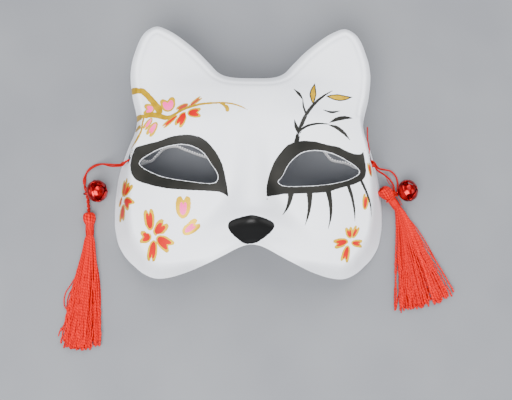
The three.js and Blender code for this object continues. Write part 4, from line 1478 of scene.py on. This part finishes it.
@dataclass
class TwistedCord:
    """A cord of one strand, or of two that wind round each other, each of two plies, along a route."""

    name: str
    nodes: Sequence[str]
    route: Sequence[tuple[float, float, float]]
    diameter: float
    strands: int
    turns: Knots = ((0, 0), (1, 0))
    inside: Sequence[tuple[float, float, float]] = ()
    ply_pitch: float = 2.6
    step: float = 0.24
    sides: int = 8

    def centre_line(self) -> Array:
        """Stations along the route and on into what it ends in."""
        points = (*self.route, *self.inside)
        rough = curve_through(points, 400)
        return evenly(rough, int(path_length(rough) / self.step))

    def build(self, palette: Palette) -> bpy.types.Object:
        """Makes the plies.

        Strands run a quarter of the diameter from the centre line and plies a quarter of a strand from the
        strand's own line. Two strands lie side by side, square to the route and level, wherever their turn is
        a whole number of half turns, and the turn at a place comes from the knots of (millimetres along,
        turns).

        Args:
            palette: Where its material comes from.

        Returns:
            The finished object.
        """
        line = self.centre_line()
        along = unit(np.gradient(line, axis=0))
        side = carried_sides(line, np.array([0.0, 1.0, 0.2]))
        if self.strands == 2:
            side = unit(np.cross(along, UP))
        third = np.cross(along, side)
        run = np.linspace(0.0, path_length(line), len(line))
        turn = (2.0 * np.pi * smooth_line(self.turns, run))[:, None]
        fine = (2.0 * np.pi * run / self.ply_pitch)[:, None]
        thick = self.diameter / self.strands
        offset = 0.25 * self.diameter if self.strands == 2 else 0.0
        plies = []
        for strand in range(self.strands):
            angle = turn + math.pi * strand
            own = line + offset * (np.cos(angle) * side + np.sin(angle) * third)
            for phase in (0.0, math.pi):
                round_turn = fine + phase
                plies.append(own + 0.23 * thick * (np.cos(round_turn) * side + np.sin(round_turn) * third))
        radius = np.full((len(plies), len(line)), 0.28 * thick)
        surface = tubes(np.stack(plies), radius, self.sides, np.stack([side] * len(plies)))
        made = surface.to_object(self.name, [palette.material(Finish.CORD)])
        place_piece(made, "red_cord", *self.nodes)
        return made

    def declare(self, made: bpy.types.Object, pieces: Sequence[bpy.types.Object]) -> None:
        """Works out the cord's centre line, and does no more."""
        line = self.centre_line()


@dataclass
class Bell:
    """A round bell with crossed slits that end in holes, and a wire eyelet opposite them."""

    side: str
    centre: tuple[float, float, float]
    eyelet_way: tuple[float, float, float]
    cord_way: tuple[float, float, float]
    roll: float
    radius: float = 7.3
    height: float = 12.4
    wall: float = 0.6
    squareness: float = 0.86
    seam: float = 0.35
    slit: float = 1.3
    hole: float = 2.3
    hole_x: float = 6.0
    hole_y: float = -1.4
    arc_share: float = 0.95
    pole_gap: float = 0.16
    eyelet: float = 2.15
    eyelet_rise: float = 1.7
    wire: float = 0.5

    def _profile(self, angle: Array) -> tuple[Array, Array]:
        """Radius and height of the body at angles from the lower pole to the upper one.

        Both are the cosine and sine raised to the squareness, and the seam is a narrow ridge at the middle.
        """
        rise = np.sign(angle) * np.abs(np.sin(angle)) ** self.squareness * self.height / 2.0
        radius = np.cos(angle) ** self.squareness * self.radius
        return radius + self.seam * np.exp(-((angle / 0.045) ** 2)), rise

    def _shell(self) -> Surface:
        """The body in four quarters, each a grid from one slit's edge to the next.

        The half width of the gap between two quarters is the slit's up to the hole, then the hole's chord,
        then nought. As an angle it is the arcsine of that over the radius.

        Returns:
            The outer surface with its open slits.
        """
        low = -math.pi / 2.0
        hole_angle = math.atan2(self.hole_y / self.height, self.hole_x / (2.0 * self.radius))
        reach = self.hole / (self.radius * self.arc_share)
        first = low + self.pole_gap
        below = np.linspace(first, hole_angle - reach, 16, endpoint=False)
        beside = hole_angle - reach * np.cos(np.linspace(0.0, np.pi, 15))
        above = np.linspace(hole_angle + reach, math.pi / 2.0 - 0.02, 30)[1:]
        angle = np.concatenate([below, beside, above])
        radius, rise = self._profile(angle)
        off = (angle - hole_angle) * self.radius * self.arc_share
        chord = np.sqrt(np.maximum(self.hole**2 - off**2, 0.0))
        half = np.where(angle < hole_angle, np.maximum(chord, self.slit / 2.0), chord)
        gap = np.arcsin(np.clip(half / np.maximum(radius, 1e-6), 0.0, math.sin(math.pi / 4.0)))
        across = np.linspace(0.0, 1.0, 17)
        quarters = []
        for quarter in range(4):
            start = quarter * math.pi / 2.0 + gap[:, None]
            turn = start + across * (math.pi / 2.0 - 2.0 * gap[:, None]) - self.roll
            grid = np.stack(
                [
                    radius[:, None] * np.cos(turn),
                    np.broadcast_to(rise[:, None], turn.shape),
                    radius[:, None] * np.sin(turn),
                ],
                axis=-1,
            )
            quarters.append(
                Surface(grid.reshape(-1, 3), [grid_faces(len(angle), len(across), False)[:, ::-1]])
            )
        body = quarters[0]
        for quarter in quarters[1:]:
            body = body.joined(quarter)
        return body

    def _basis(self) -> Array:
        """Rows that turn the bell's own axes, cord way, eyelet way and third, into the part's."""
        up = unit(np.array(self.eyelet_way))
        through = np.array(self.cord_way)
        through = unit(through - up * float(through @ up))
        return np.stack([through, up, np.cross(through, up)])

    def build(self, palette: Palette) -> bpy.types.Object:
        """Makes the bell's body, which gets its wall from a Solidify modifier."""
        body = self._shell()
        body.points = body.points @ self._basis() + np.array(self.centre)
        made = body.to_object(f"bell_{self.side}_shell", [palette.material(Finish.BELL)], 40.0)
        merge_doubles(made, 0.01)
        wall = made.modifiers.new("wall", "SOLIDIFY")
        wall.thickness = self.wall * MM
        wall.offset = -1.0
        place_piece(made, "bell_metal", f"bell_{self.side}")
        return made

    def build_eyelet(self, palette: Palette) -> bpy.types.Object:
        """Makes the eyelet: a closed ring of round wire, its middle a little above the body."""
        turn = np.linspace(0.0, 2.0 * np.pi, 41)
        ring = np.stack([np.zeros_like(turn), np.sin(turn), np.cos(turn)], axis=-1) * self.eyelet
        ring[:, 1] += self.height / 2.0 + self.eyelet_rise
        surface = tubes(ring[None], np.full((1, 41), self.wire), 12, np.array([1.0, 0.0, 0.0]))
        surface.points = surface.points @ self._basis() + np.array(self.centre)
        made = surface.to_object(f"bell_{self.side}_eyelet", [palette.material(Finish.BELL)])
        place_piece(made, "bell_metal")
        return made


def merge_doubles(made: bpy.types.Object, distance: float) -> None:
    """Merges points closer than a distance in millimetres."""
    work = bmesh.new()
    work.from_mesh(made.data)
    bmesh.ops.remove_doubles(work, verts=work.verts, dist=distance * MM)
    work.to_mesh(made.data)
    work.free()
    made.data.shade_smooth()
    made.data.set_sharp_from_angle(angle=math.radians(40.0))


@dataclass(frozen=True)
class Station:
    """A place along a tassel: its middle, its half width in plan and its half thickness."""

    x: float
    y: float
    z: float
    wide: float
    thick: float


@dataclass(frozen=True)
class Stray:
    """A thread that has come away from the skirt, and the share of its way where a knot sits on it.

    NO_KNOT is a share so far off that no knot shows.
    """

    route: Sequence[tuple[float, float, float]]
    knot_at: float = NO_KNOT


@dataclass
class Tassel:
    """A tassel: looped strands over its head, a bound neck, and a skirt of loose threads."""

    side: str
    stations: Sequence[Station]
    neck: tuple[int, int]
    threads: int
    strays: Sequence[Stray]
    head_twist: float
    head_strand: float = 0.6
    head_spacing: float = 2.05
    head_profile: Sequence[tuple[float, float]] = (
        (0.2, 0.12), (0.07, 0.3), (0.0, 0.55), (0.06, 0.8), (0.22, 0.97), (0.45, 1.0),
        (0.68, 0.86), (0.86, 0.66),
        (1.02, 0.54), (1.25, 0.5),
    )
    steps: int = 46
    sides: int = 7
    thread: float = 0.46
    ragged: float = 1.8
    shorter_at_sides: float = 4.0
    root: float = 0.4
    crimp: float = 0.2
    binding_pitch: float = 0.64
    binding_radius: float = 0.38
    binding_lift: float = 0.28

    def _along(self, run: Array) -> tuple[Array, Array, Array, Array, Array]:
        """Middle x, y, z, half width and half thickness along the tassel, straight on past its end."""
        table = np.array([(s.x, s.y, s.z, s.wide, s.thick) for s in self.stations], float)
        at = np.concatenate([[0.0], np.cumsum(np.linalg.norm(np.diff(table[:, :2], axis=0), axis=1))])
        x, y, z, wide, thick = (smooth_line(list(zip(at, column)), run) for column in table.T)
        way = unit(table[-1, :2] - table[-2, :2])
        past = np.maximum(run - at[-1], 0.0)
        return x + past * way[0], y + past * way[1], z, wide, thick

    def _reach(self) -> tuple[float, float, float]:
        """Distances along the tassel to both ends of its neck and to the ends of its threads."""
        table = np.array([(s.x, s.y) for s in self.stations], float)
        at = np.concatenate([[0.0], np.cumsum(np.linalg.norm(np.diff(table, axis=0), axis=1))])
        return float(at[self.neck[0]]), float(at[self.neck[1]]), float(at[-1])

    def _skirt(self, rng: np.random.Generator) -> Array:
        """Centre line of every loose thread.

        A thread keeps its own place in the section, which the stations stretch from the neck to the ends.
        Past the neck it gathers into clumps, sways by slow sines and crimps by a fast one, all of its own.

        Args:
            rng: Source of the threads' places, phases and lengths.

        Returns:
            Thread by thread, the stations of its line.
        """
        start, bound, end = self._reach()
        count = (self.threads, 1)
        spin = rng.uniform(0.0, 2.0 * np.pi, count)
        out = np.sqrt(rng.uniform(0.02, 1.0, count))
        across_place, up_place = out * np.cos(spin), out * np.sin(spin)
        ragged = rng.normal(0.0, self.ragged, count).clip(-6.0, 2.2)
        ends = end + ragged - self.shorter_at_sides * across_place**2
        run = start + self.root + (ends - start - self.root) * np.linspace(0.0, 1.0, self.steps) ** 0.85
        x, y, z, wide, thick = self._along(run)
        way = unit(np.stack([np.gradient(x, axis=1), np.gradient(y, axis=1)], axis=-1))
        loose = ease((run - bound) / (0.8 * (end - bound)))
        clump = 0.045 * np.sin(2.0 * np.pi * 4.5 * across_place + 1.0)
        sway = sum(
            rng.normal(0.0, 0.45 / k, count) * np.sin(k * run / 11.0 + rng.uniform(0.0, 6.28, count))
            for k in (1, 2)
        )
        crimp_length = rng.uniform(4.5, 8.0, count)
        crimp_start = rng.uniform(0.0, 6.28, count)
        crimp = self.crimp * np.sin(2.0 * np.pi * run / crimp_length + crimp_start) * np.sqrt(loose)
        crimp_up = self.crimp * np.cos(2.0 * np.pi * run / crimp_length + crimp_start) * np.sqrt(loose)
        drift = rng.normal(0.0, 0.1, count)
        across = (across_place + (clump + drift) * loose) * (wide - self.thread) + 1.2 * sway * loose + crimp
        up = up_place * (thick - self.thread) + crimp_up + rng.normal(0.0, 0.25, count) * loose
        z = np.maximum(z + up, self.thread + 0.1 + 0.2 * np.abs(up_place))
        return np.stack([x - way[..., 1] * across, y + way[..., 0] * across, z], axis=-1)

    def _head(self) -> tuple[Array, Array]:
        """Centre line of every looped strand over the head, and the way out of the head along it.

        Each follows the head's profile, from a dimple at its top over its widest place into the neck, at its
        own angle round it, and leans round by the twist on its way.

        Returns:
            Strand by strand, the stations of its line, and an outward vector for each.
        """
        start, _, _ = self._reach()
        widest = max(station.wide for station in self.stations[: self.neck[0]])
        thickest = max(station.thick for station in self.stations[: self.neck[0]])
        count = int(2.0 * np.pi * widest / (self.head_spacing * self.head_strand))
        profile = curve_through([(share * start, radius) for share, radius in self.head_profile], self.steps)
        run, radius = profile.T
        x, y, z, _, _ = self._along(run)
        first, last = np.array([x[0], y[0], z[0]]), np.array([x[-1], y[-1], z[-1]])
        axis = unit(last - first)
        side = unit(np.cross(UP, axis))
        upright = np.cross(axis, side)
        lean = self.head_twist * np.linspace(0.0, 1.0, self.steps)
        angle = (2.0 * np.pi * (np.arange(count) + 0.5) / count)[:, None] + lean
        middle = np.stack([x, y, z], axis=-1)
        wide = (radius * (widest - 0.5 * self.head_strand) * np.cos(angle))[..., None]
        tall = (radius * (thickest - 0.5 * self.head_strand) * np.sin(angle))[..., None]
        outward = wide * side + tall * upright
        return middle + outward, outward

    def build(self, palette: Palette) -> bpy.types.Object:
        """Makes the head's strands, the skirt's threads and the strays as tubes in one piece."""
        rng = np.random.default_rng(SEED + len(self.side))
        skirt = self._skirt(rng)
        share = np.linspace(0.0, 1.0, self.steps)
        frayed = self.thread * (1.0 + 0.35 * ease((share - 0.94) / 0.05))
        surface = tubes(skirt, np.broadcast_to(frayed, skirt.shape[:2]), self.sides, UP)
        head, outward = self._head()
        surface = surface.joined(tubes(head, np.full(head.shape[:2], self.head_strand), 8, outward))
        lines = np.stack([curve_through(stray.route, 2 * self.steps) for stray in self.strays])
        share = np.linspace(0.0, 1.0, 2 * self.steps)
        knots = np.array([stray.knot_at for stray in self.strays])[:, None]
        radii = 0.8 * self.thread * (1.0 + 1.7 * np.exp(-(((share - knots) / 0.014) ** 2)))
        surface = surface.joined(tubes(lines, radii, self.sides, UP))
        made = surface.to_object(f"tassel_{self.side}_threads", [palette.material(Finish.THREAD)])
        place_piece(made, "tassel_thread", f"tassel_{self.side}")
        return made

    def build_binding(self, palette: Palette) -> bpy.types.Object:
        """Makes the thread wound round the neck: a helix just outside it, one thread's width a turn."""
        start, end = (self.stations[i] for i in self.neck)
        a = np.array([start.x, start.y, start.z])
        b = np.array([end.x, end.y, end.z])
        axis = unit(b - a)
        length = float(np.linalg.norm(b - a))
        turns = length / self.binding_pitch
        t = np.linspace(-0.02, 1.02, int(turns * 18))
        side = unit(np.cross(axis, UP))
        third = np.cross(axis, side)
        angle = (2.0 * np.pi * turns * t)[:, None]
        swell = (start.wide + self.binding_lift + 0.1 * np.sin(np.pi * t.clip(0.0, 1.0)))[:, None]
        outward = np.cos(angle) * side + np.sin(angle) * third
        line = a + axis * (t[:, None] * length) + swell * outward
        surface = tubes(line[None], np.full((1, len(line)), self.binding_radius), 8, outward[None])
        made = surface.to_object(f"tassel_{self.side}_binding", [palette.material(Finish.THREAD)])
        place_piece(made, "binding_thread", f"tassel_binding_{self.side}")
        return made


@dataclass
class SlotKnot:
    """The knot that gathers both right strands outside their slot, with its tail up the wall."""

    centre: tuple[float, float, float] = (79.2, -7.8, 28.4)
    size: float = 0.52
    cord: float = 0.62
    tail_cord: float = 0.42
    loose_thread: float = 0.2
    lean: float = 74.0
    slant: float = 52.0
    stretch: tuple[float, float] = (1.4, 0.8)
    tail: Sequence[tuple[float, float, float]] = (
        (78.9, -7.2, 28), (78.2, -5.8, 25.6), (77.7, -3.9, 24.6), (77.1, -2.2, 25.6), (76.5, -0.6, 29.6),
        (76.5, 1, 31.4), (76.5, 3.4, 29.8), (76.4, 6.2, 28.2), (76.3, 9.4, 26.6),
        (76.1, 12.6, 27.8), (75.5, 16, 32),
    )
    loose: Sequence[tuple[float, float, float]] = (
        (91.9, -10.6, 3.9), (93.4, -14.2, 3.9), (95.6, -18.1, 5.1), (97.9, -22.6, 6.6), (99.4, -26, 7.2),
        (101.1, -29.1, 6.6), (101.8, -30.6, 6.2),
    )

    def build(self, palette: Palette) -> list[bpy.types.Object]:
        """Makes the knot, its tail and a loose thread.

        The knot's line is (sine t + 2 sine 2t, cosine t - 2 cosine 2t, -sine 3t), laid flat on the wall.

        Args:
            palette: Where the material comes from.

        Returns:
            The three objects.
        """
        t = np.linspace(0.0, 2.0 * np.pi, 97)
        first, second = np.sin(t) + 2.0 * np.sin(2.0 * t), np.cos(t) - 2.0 * np.cos(2.0 * t)
        first, second = first * self.stretch[0], second * self.stretch[1]
        slant = math.radians(self.slant)
        own = np.stack(
            [
                first * math.cos(slant) - second * math.sin(slant),
                first * math.sin(slant) + second * math.cos(slant),
                -1.1 * np.sin(3.0 * t),
            ],
            axis=-1,
        ) * self.size
        lean = math.radians(self.lean)
        x = own[:, 0] * math.cos(lean) + own[:, 2] * math.sin(lean)
        z = -own[:, 0] * math.sin(lean) + own[:, 2] * math.cos(lean)
        line = np.stack([x, own[:, 1], z], axis=-1) + np.array(self.centre)
        made = []
        for name, path, radius in (
            ("cord_right_knot", line, self.cord),
            ("cord_right_tail", curve_through(self.tail, 90), self.tail_cord),
            ("cord_right_loose_thread", curve_through(self.loose, 60), self.loose_thread),
        ):
            side = carried_sides(path, np.array([0.3, 1.0, 0.2]))
            surface = tubes(path[None], np.full((1, len(path)), radius), 9, side[None])
            piece = surface.to_object(name, [palette.material(Finish.CORD)])
            place_piece(piece, "red_cord")
            made.append(piece)
        return made


@dataclass
class HeadStrap:
    """A flat braided band from slot to slot, slack behind the eyes, whose gathered ends lie in the slots."""

    route: Sequence[tuple[float, float, float]] = (
        (-76.9, -2.5, 29.9), (-76, -2.6, 29.5), (-74.5, -3, 28.2), (-72.9, -4, 25.6), (-71, -6, 22.2),
        (-64.5, -4.8, 20), (-60.5, -1, 20), (-56, 3.6, 19.5), (-48.6, 5.3, 19), (-42, 3, 18.5),
        (-29.5, -1.2, 17.5),
        (-15, -4, 16.5), (0, 0, 16), (16, 9, 16), (31, 13.5, 17), (42, 10.5, 18), (48.5, 3.2, 19),
        (53.5, -3, 20),
        (62, -5.2, 21), (69.6, -7.6, 21.4), (72.9, -4.6, 25), (74.5, -3, 28.2), (76, -2.6, 29.5),
        (76.9, -2.5, 29.9),
    )
    width: float = 5.0
    thickness: float = 1.1
    gathered_width: float = 4.2
    gathered_thickness: float = 1.6
    turns_from: float = 66.0
    turned_at: float = 75.0
    hem: float = 2.2

    def _band(self) -> Surface:
        """The band: a rounded section carried along the route, on edge in the middle and flat in the slots.

        Its width and thickness go from the open ones to the gathered ones as it turns. Over the last of its
        length it is thicker by a tenth, where its end is turned in, and rounds off as a quarter of an
        ellipse.

        Returns:
            The band with closed ends. Its places are millimetres along and across.
        """
        line = curve_through(self.route, 420)
        along = unit(np.gradient(line, axis=0))
        share = np.clip((np.abs(line[:, 0]) - self.turns_from) / (self.turned_at - self.turns_from), 0.0, 1.0)
        upright = share[:, None] * np.array([0.0, 1.0, 0.0]) + (1.0 - share[:, None]) * UP
        across = unit(upright - along * (upright * along).sum(-1, keepdims=True))
        through = np.cross(along, across)
        run = np.linspace(0.0, path_length(line), len(line))
        to_end = np.minimum(run, run[-1] - run)
        round_off = np.sqrt(np.clip(1.0 - (1.0 - to_end / 0.6).clip(0.0, 1.0) ** 2, 0.04, 1.0))
        fold = 1.0 + 0.1 * ease((self.hem - to_end) / 0.4)
        width = (self.width + (self.gathered_width - self.width) * share) * (0.6 + 0.4 * round_off)
        thickness = (self.thickness + (self.gathered_thickness - self.thickness) * share) * fold * round_off
        turn = np.linspace(0.0, 2.0 * np.pi, 24, endpoint=False)
        flat = (np.sign(np.cos(turn)) * np.abs(np.cos(turn)) ** 0.45 / 2.0) * width[:, None]
        deep = (np.sign(np.sin(turn)) * np.abs(np.sin(turn)) ** 0.6 / 2.0) * thickness[:, None]
        grid = line[:, None] + flat[..., None] * across[:, None] + deep[..., None] * through[:, None]
        places = np.stack([np.repeat(run, len(turn)), flat.ravel(), 0.0 * flat.ravel()], axis=-1)
        k = np.arange(len(turn))
        following = (k + 1) % len(turn)
        size = grid.shape[0] * grid.shape[1]
        last = size - len(turn)
        ends = [
            np.stack([np.full_like(k, size), following, k], 1),
            np.stack([np.full_like(k, size + 1), last + k, last + following], 1),
        ]
        return Surface(
            np.vstack([grid.reshape(-1, 3), line[:1], line[-1:]]),
            [grid_faces(len(line), len(turn), True), *ends],
            np.vstack([places, [[0.0, 0.0, 0.0], [run[-1], 0.0, 0.0]]]),
        )

    def build(self, palette: Palette) -> bpy.types.Object:
        """Makes the band."""
        surface = self._band()
        made = surface.to_object("elastic_strap_band", [palette.material(Finish.ELASTIC)])
        place_piece(made, "white_elastic", "elastic_strap")
        return made

    def declare(self, made: bpy.types.Object) -> None:
        """Does nothing with the band."""


@dataclass
class Studio:
    """Camera, floor and soft light."""

    elevation: float = 80.0
    side_lean: float = -2.3
    distance: float = 611.0
    aim: tuple[float, float, float] = (3.6, -31.0, 25.0)
    lens: float = 66.8
    floor_size: float = 6000.0
    floor_drop: float = 0.05

    def place_camera(self) -> None:
        """Sets the camera on its line through the aim, with the ears up in the picture."""
        up_angle, lean = math.radians(self.elevation), math.radians(self.side_lean)
        back = unit(
            np.array(
                [math.sin(lean), -math.cos(up_angle) * math.cos(lean), math.sin(up_angle) * math.cos(lean)]
            )
        )
        right = unit(np.cross(np.array([0.0, 1.0, 0.0]), back))
        up = np.cross(back, right)
        data = bpy.data.cameras.new("camera")
        data.lens = self.lens
        data.sensor_width = 36.0
        data.clip_start = 0.01
        camera = bpy.data.objects.new("camera", data)
        place = (np.array(self.aim) + back * self.distance) * MM
        rows = np.eye(4)
        rows[:3, 0], rows[:3, 1], rows[:3, 2], rows[:3, 3] = right, up, back, place
        camera.matrix_world = Matrix(rows.tolist())
        bpy.context.scene.collection.objects.link(camera)
        bpy.context.scene.camera = camera

    def lay_floor(self, palette: Palette) -> None:
        """Lays the pale surface just under the rims."""
        half, low = self.floor_size / 2.0, -self.floor_drop
        points = np.array([[-half, -half, low], [half, -half, low], [half, half, low], [-half, half, low]])
        floor = Surface(points, [np.array([[0, 1, 2, 3]])]).to_object(
            "floor", [palette.material(Finish.TABLE)]
        )

    def add_light(self, name: str, place: Sequence[float], watts: float, size: float) -> None:
        """Adds one square area light, in metres, that faces the mask."""
        data = bpy.data.lights.new(name, "AREA")
        data.energy = watts
        data.size = size
        lamp = bpy.data.objects.new(name, data)
        back = unit(np.array(place, float))
        right = unit(np.cross(np.array([0.0, 1.0, 0.001]), back))
        rows = np.eye(4)
        rows[:3, 0], rows[:3, 1], rows[:3, 2], rows[:3, 3] = right, np.cross(back, right), back, place
        lamp.matrix_world = Matrix(rows.tolist())
        bpy.context.scene.collection.objects.link(lamp)

    def light(self) -> None:
        """Lights it from one broad lamp above the nose, a weak one opposite and two low ones beside it."""
        self.add_light("key_light", (-0.25, -0.75, 1.2), 50.0, 1.0)
        self.add_light("fill_light", (0.3, 0.7, 1.2), 22.0, 1.2)
        self.add_light("left_light", (-1.3, -0.25, 0.55), 7.0, 0.9)
        self.add_light("right_light", (1.3, -0.25, 0.55), 9.0, 0.9)
        world = bpy.data.worlds.new("surround")
        world.use_nodes = True
        background = world.node_tree.nodes["Background"]
        background.inputs["Color"].default_value = (0.93, 0.96, 1.0, 1.0)
        background.inputs["Strength"].default_value = 0.5
        bpy.context.scene.world = world


LEFT_CORD = TwistedCord(
    name="cord_left_plies",
    nodes=("cord_left",),
    route=(
        (-75.6, -6.1, 26.2), (-78, -6.2, 28.2), (-80.9, -7.5, 27.4), (-83.5, -7.6, 20.4), (-88, -6.4, 12.6),
        (-93, -5, 7), (-98.7, -3.6, 3), (-104, -4.9, 1.4), (-107.9, -8.4, 1.4), (-109.6, -13, 1.4),
        (-109.4, -17.5, 2), (-108.3, -21, 3.6), (-107.4, -24.6, 4), (-106.7, -29.5, 2.6),
        (-105.9, -35.8, 3.2),
    ),
    inside=((-105.4, -41, 3.3), (-105, -48, 3.3), (-105, -56, 3.2), (-105.4, -65, 3.2), (-106, -74, 3.1)),
    diameter=2.4,
    strands=2,
    turns=((0, 0.25), (6, 0.25), (15, 0.5), (56, 0.5), (62, 1), (68, 2), (116, 10)),
)

RIGHT_UPPER_CORD = TwistedCord(
    name="cord_right_upper_plies",
    nodes=("cord_right_upper",),
    route=(
        (75.6, -5.1, 26.6), (78, -5.2, 28.2), (80, -6.3, 28), (82.6, -7.8, 22.6),
        (86, -7.4, 13.8), (91, -6.3, 5),
        (96, -6.8, 1.6), (99.3, -10.4, 1), (100.2, -15, 1.3), (99.9, -19.4, 2.1), (99.4, -22.2, 3.1),
        (98.4, -23.5, 5), (97.4, -24.3, 6.8), (96.2, -25.2, 8.2), (94.4, -26.5, 8.7), (92.5, -27.9, 7.6),
        (91.6, -28.4, 5.8),
    ),
    diameter=1.3,
    strands=1,
)

RIGHT_LOWER_CORD = TwistedCord(
    name="cord_right_lower_plies",
    nodes=("cord_right_lower",),
    route=(
        (75.6, -6.8, 26.6), (78, -6.9, 28), (80, -8.3, 27.8), (82.5, -9.5, 22), (86, -9.3, 13),
        (90.9, -9.9, 5),
        (94.6, -12.4, 2.4), (97, -16.2, 2.5), (97.1, -20, 4.5), (97.2, -22.1, 6.3),
    ),
    inside=((96.8, -24.6, 5.4), (96.6, -27.4, 4.6), (98.6, -31, 3.6), (101.6, -38, 3.2),
            (105, -50, 3.1), (108, -62, 3)),
    diameter=1.3,
    strands=1,
)

LEFT_TASSEL = Tassel(
    side="left",
    stations=(
        Station(-105.8, -37.4, 3.3, 1.4, 1.3), Station(-105.6, -38.6, 3.3, 3, 2.5),
        Station(-105.4, -40.8, 3.3, 3.7, 3.1), Station(-105.2, -43, 3.3, 3, 2.7),
        Station(-105.1, -44.4, 3.3, 2.1, 2.1), Station(-104.9, -51, 3.3, 2.1, 2.1),
        Station(-104.9, -53, 3.2, 3, 2.6), Station(-105.1, -62, 3.2, 4.6, 2.9),
        Station(-106.2, -80, 3.1, 7.8, 2.8), Station(-107.6, -102, 2.8, 10.8, 2.5),
        Station(-109, -124, 2.4, 12.8, 2.1),
    ),
    neck=(4, 5),
    threads=125,
    strays=(
        Stray(((-105, -53, 3.2), (-106.4, -60, 3.2), (-110.6, -73, 2), (-115.8, -82.7, 1), (-120, -90, 0.8),
               (-120.2, -97.5, 0.9), (-117.2, -102.1, 1.7), (-117.9, -107, 1.8), (-121.4, -112.6, 1.1),
               (-122.4, -113.8, 1.1), (-123.4, -117.1, 0.9)), 0.93),
        Stray(((-104.8, -53, 3.4), (-106, -61, 3.4), (-109.6, -74, 2), (-114, -83.5, 0.9),
               (-117.8, -91.2, 0.8),
               (-118.6, -98, 0.9), (-118.3, -103.8, 1), (-119.8, -109, 0.9), (-121.6, -113.4, 0.8))),
        Stray(((-104.6, -53, 3.2), (-102.4, -61, 2.8), (-98.6, -77.4, 1.2), (-97, -93.7, 0.8),
               (-97.2, -109.9, 0.7),
               (-96.2, -119, 0.6))),
        Stray(((-104.4, -53, 3), (-102.2, -64, 2.4), (-98.9, -80, 1), (-98.2, -97, 0.7), (-98.8, -110, 0.7),
               (-98.4, -121, 0.6))),
    ),
    head_twist=0.08,
    head_strand=1.05,
)

RIGHT_TASSEL = Tassel(
    side="right",
    stations=(
        Station(88, -20.5, 7.9, 1.6, 1.4), Station(89.1, -21.2, 7.6, 3.3, 2.6),
        Station(91.6, -22.7, 6.9, 4.1, 3.1),
        Station(94, -24.8, 5.7, 3.4, 2.8), Station(95.3, -26.5, 4.5, 2.2, 2.1),
        Station(99, -31.4, 3.3, 2.2, 2.1),
        Station(100.2, -33.8, 3.2, 3, 2.6), Station(103.2, -43, 3.2, 5.6, 2.9),
        Station(107.6, -61, 3, 10.2, 2.7),
        Station(112.2, -79, 2.7, 14.8, 2.4), Station(116.2, -96, 2.4, 19, 2.1),
    ),
    neck=(4, 5),
    threads=165,
    strays=(
        Stray(((99.6, -32.4, 3.2), (100.3, -41.3, 2.6), (102, -56.6, 1.2), (102.4, -71.3, 0.9),
               (99.7, -86.6, 0.8),
               (97, -99.7, 0.6))),
        Stray(((99.6, -32.4, 3.4), (101, -44, 2.6), (103.4, -58, 1.4), (103.8, -73, 0.8), (101.6, -88, 0.7),
               (100.4, -101.6, 0.6))),
        Stray(((99.8, -32.4, 3.2), (110.4, -43.4, 2.5), (117.6, -54, 1.4), (125.4, -68.3, 0.8),
               (131.6, -79.1, 0.7),
               (136, -87.8, 0.6))),
    ),
    head_twist=1.5,
    head_strand=0.85,
)

LEFT_BELL = Bell("left", (-100.3, -22.7, 7.6), (-0.88, -0.14, -0.42), (0.2, -1.0, 0.0), 0.51)
RIGHT_BELL = Bell("right", (105.8, -20.8, 7.6), (-0.8, -0.18, -0.57), (0.0, -1.0, 0.3), 0.35)


def main() -> None:
    """Builds the camera, the cords, what hangs on them, the mask and its surroundings."""
    logging.basicConfig(level=logging.INFO, format="%(name)s %(message)s")
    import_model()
    palette = Palette()
    studio = Studio()
    studio.place_camera()

    left = LEFT_CORD.build(palette)
    right_upper = RIGHT_UPPER_CORD.build(palette)
    right_lower = RIGHT_LOWER_CORD.build(palette)
    hung = {}
    for side, tassel, bell in (("left", LEFT_TASSEL, LEFT_BELL), ("right", RIGHT_TASSEL, RIGHT_BELL)):
        hung[side] = [tassel.build(palette), tassel.build_binding(palette)]
        hung[side] += [bell.build(palette), bell.build_eyelet(palette)]
    LEFT_CORD.declare(left, hung["left"])
    RIGHT_LOWER_CORD.declare(right_lower, hung["right"][:2])
    RIGHT_UPPER_CORD.declare(right_upper, [*hung["right"][2:], *SlotKnot().build(palette)])

    strap = HeadStrap()
    strap.declare(strap.build(palette))

    MaskShell(MaskForm(), MaskPaint()).build(palette)
    studio.lay_floor(palette)
    studio.light()


if __name__ == "__main__":
    main()
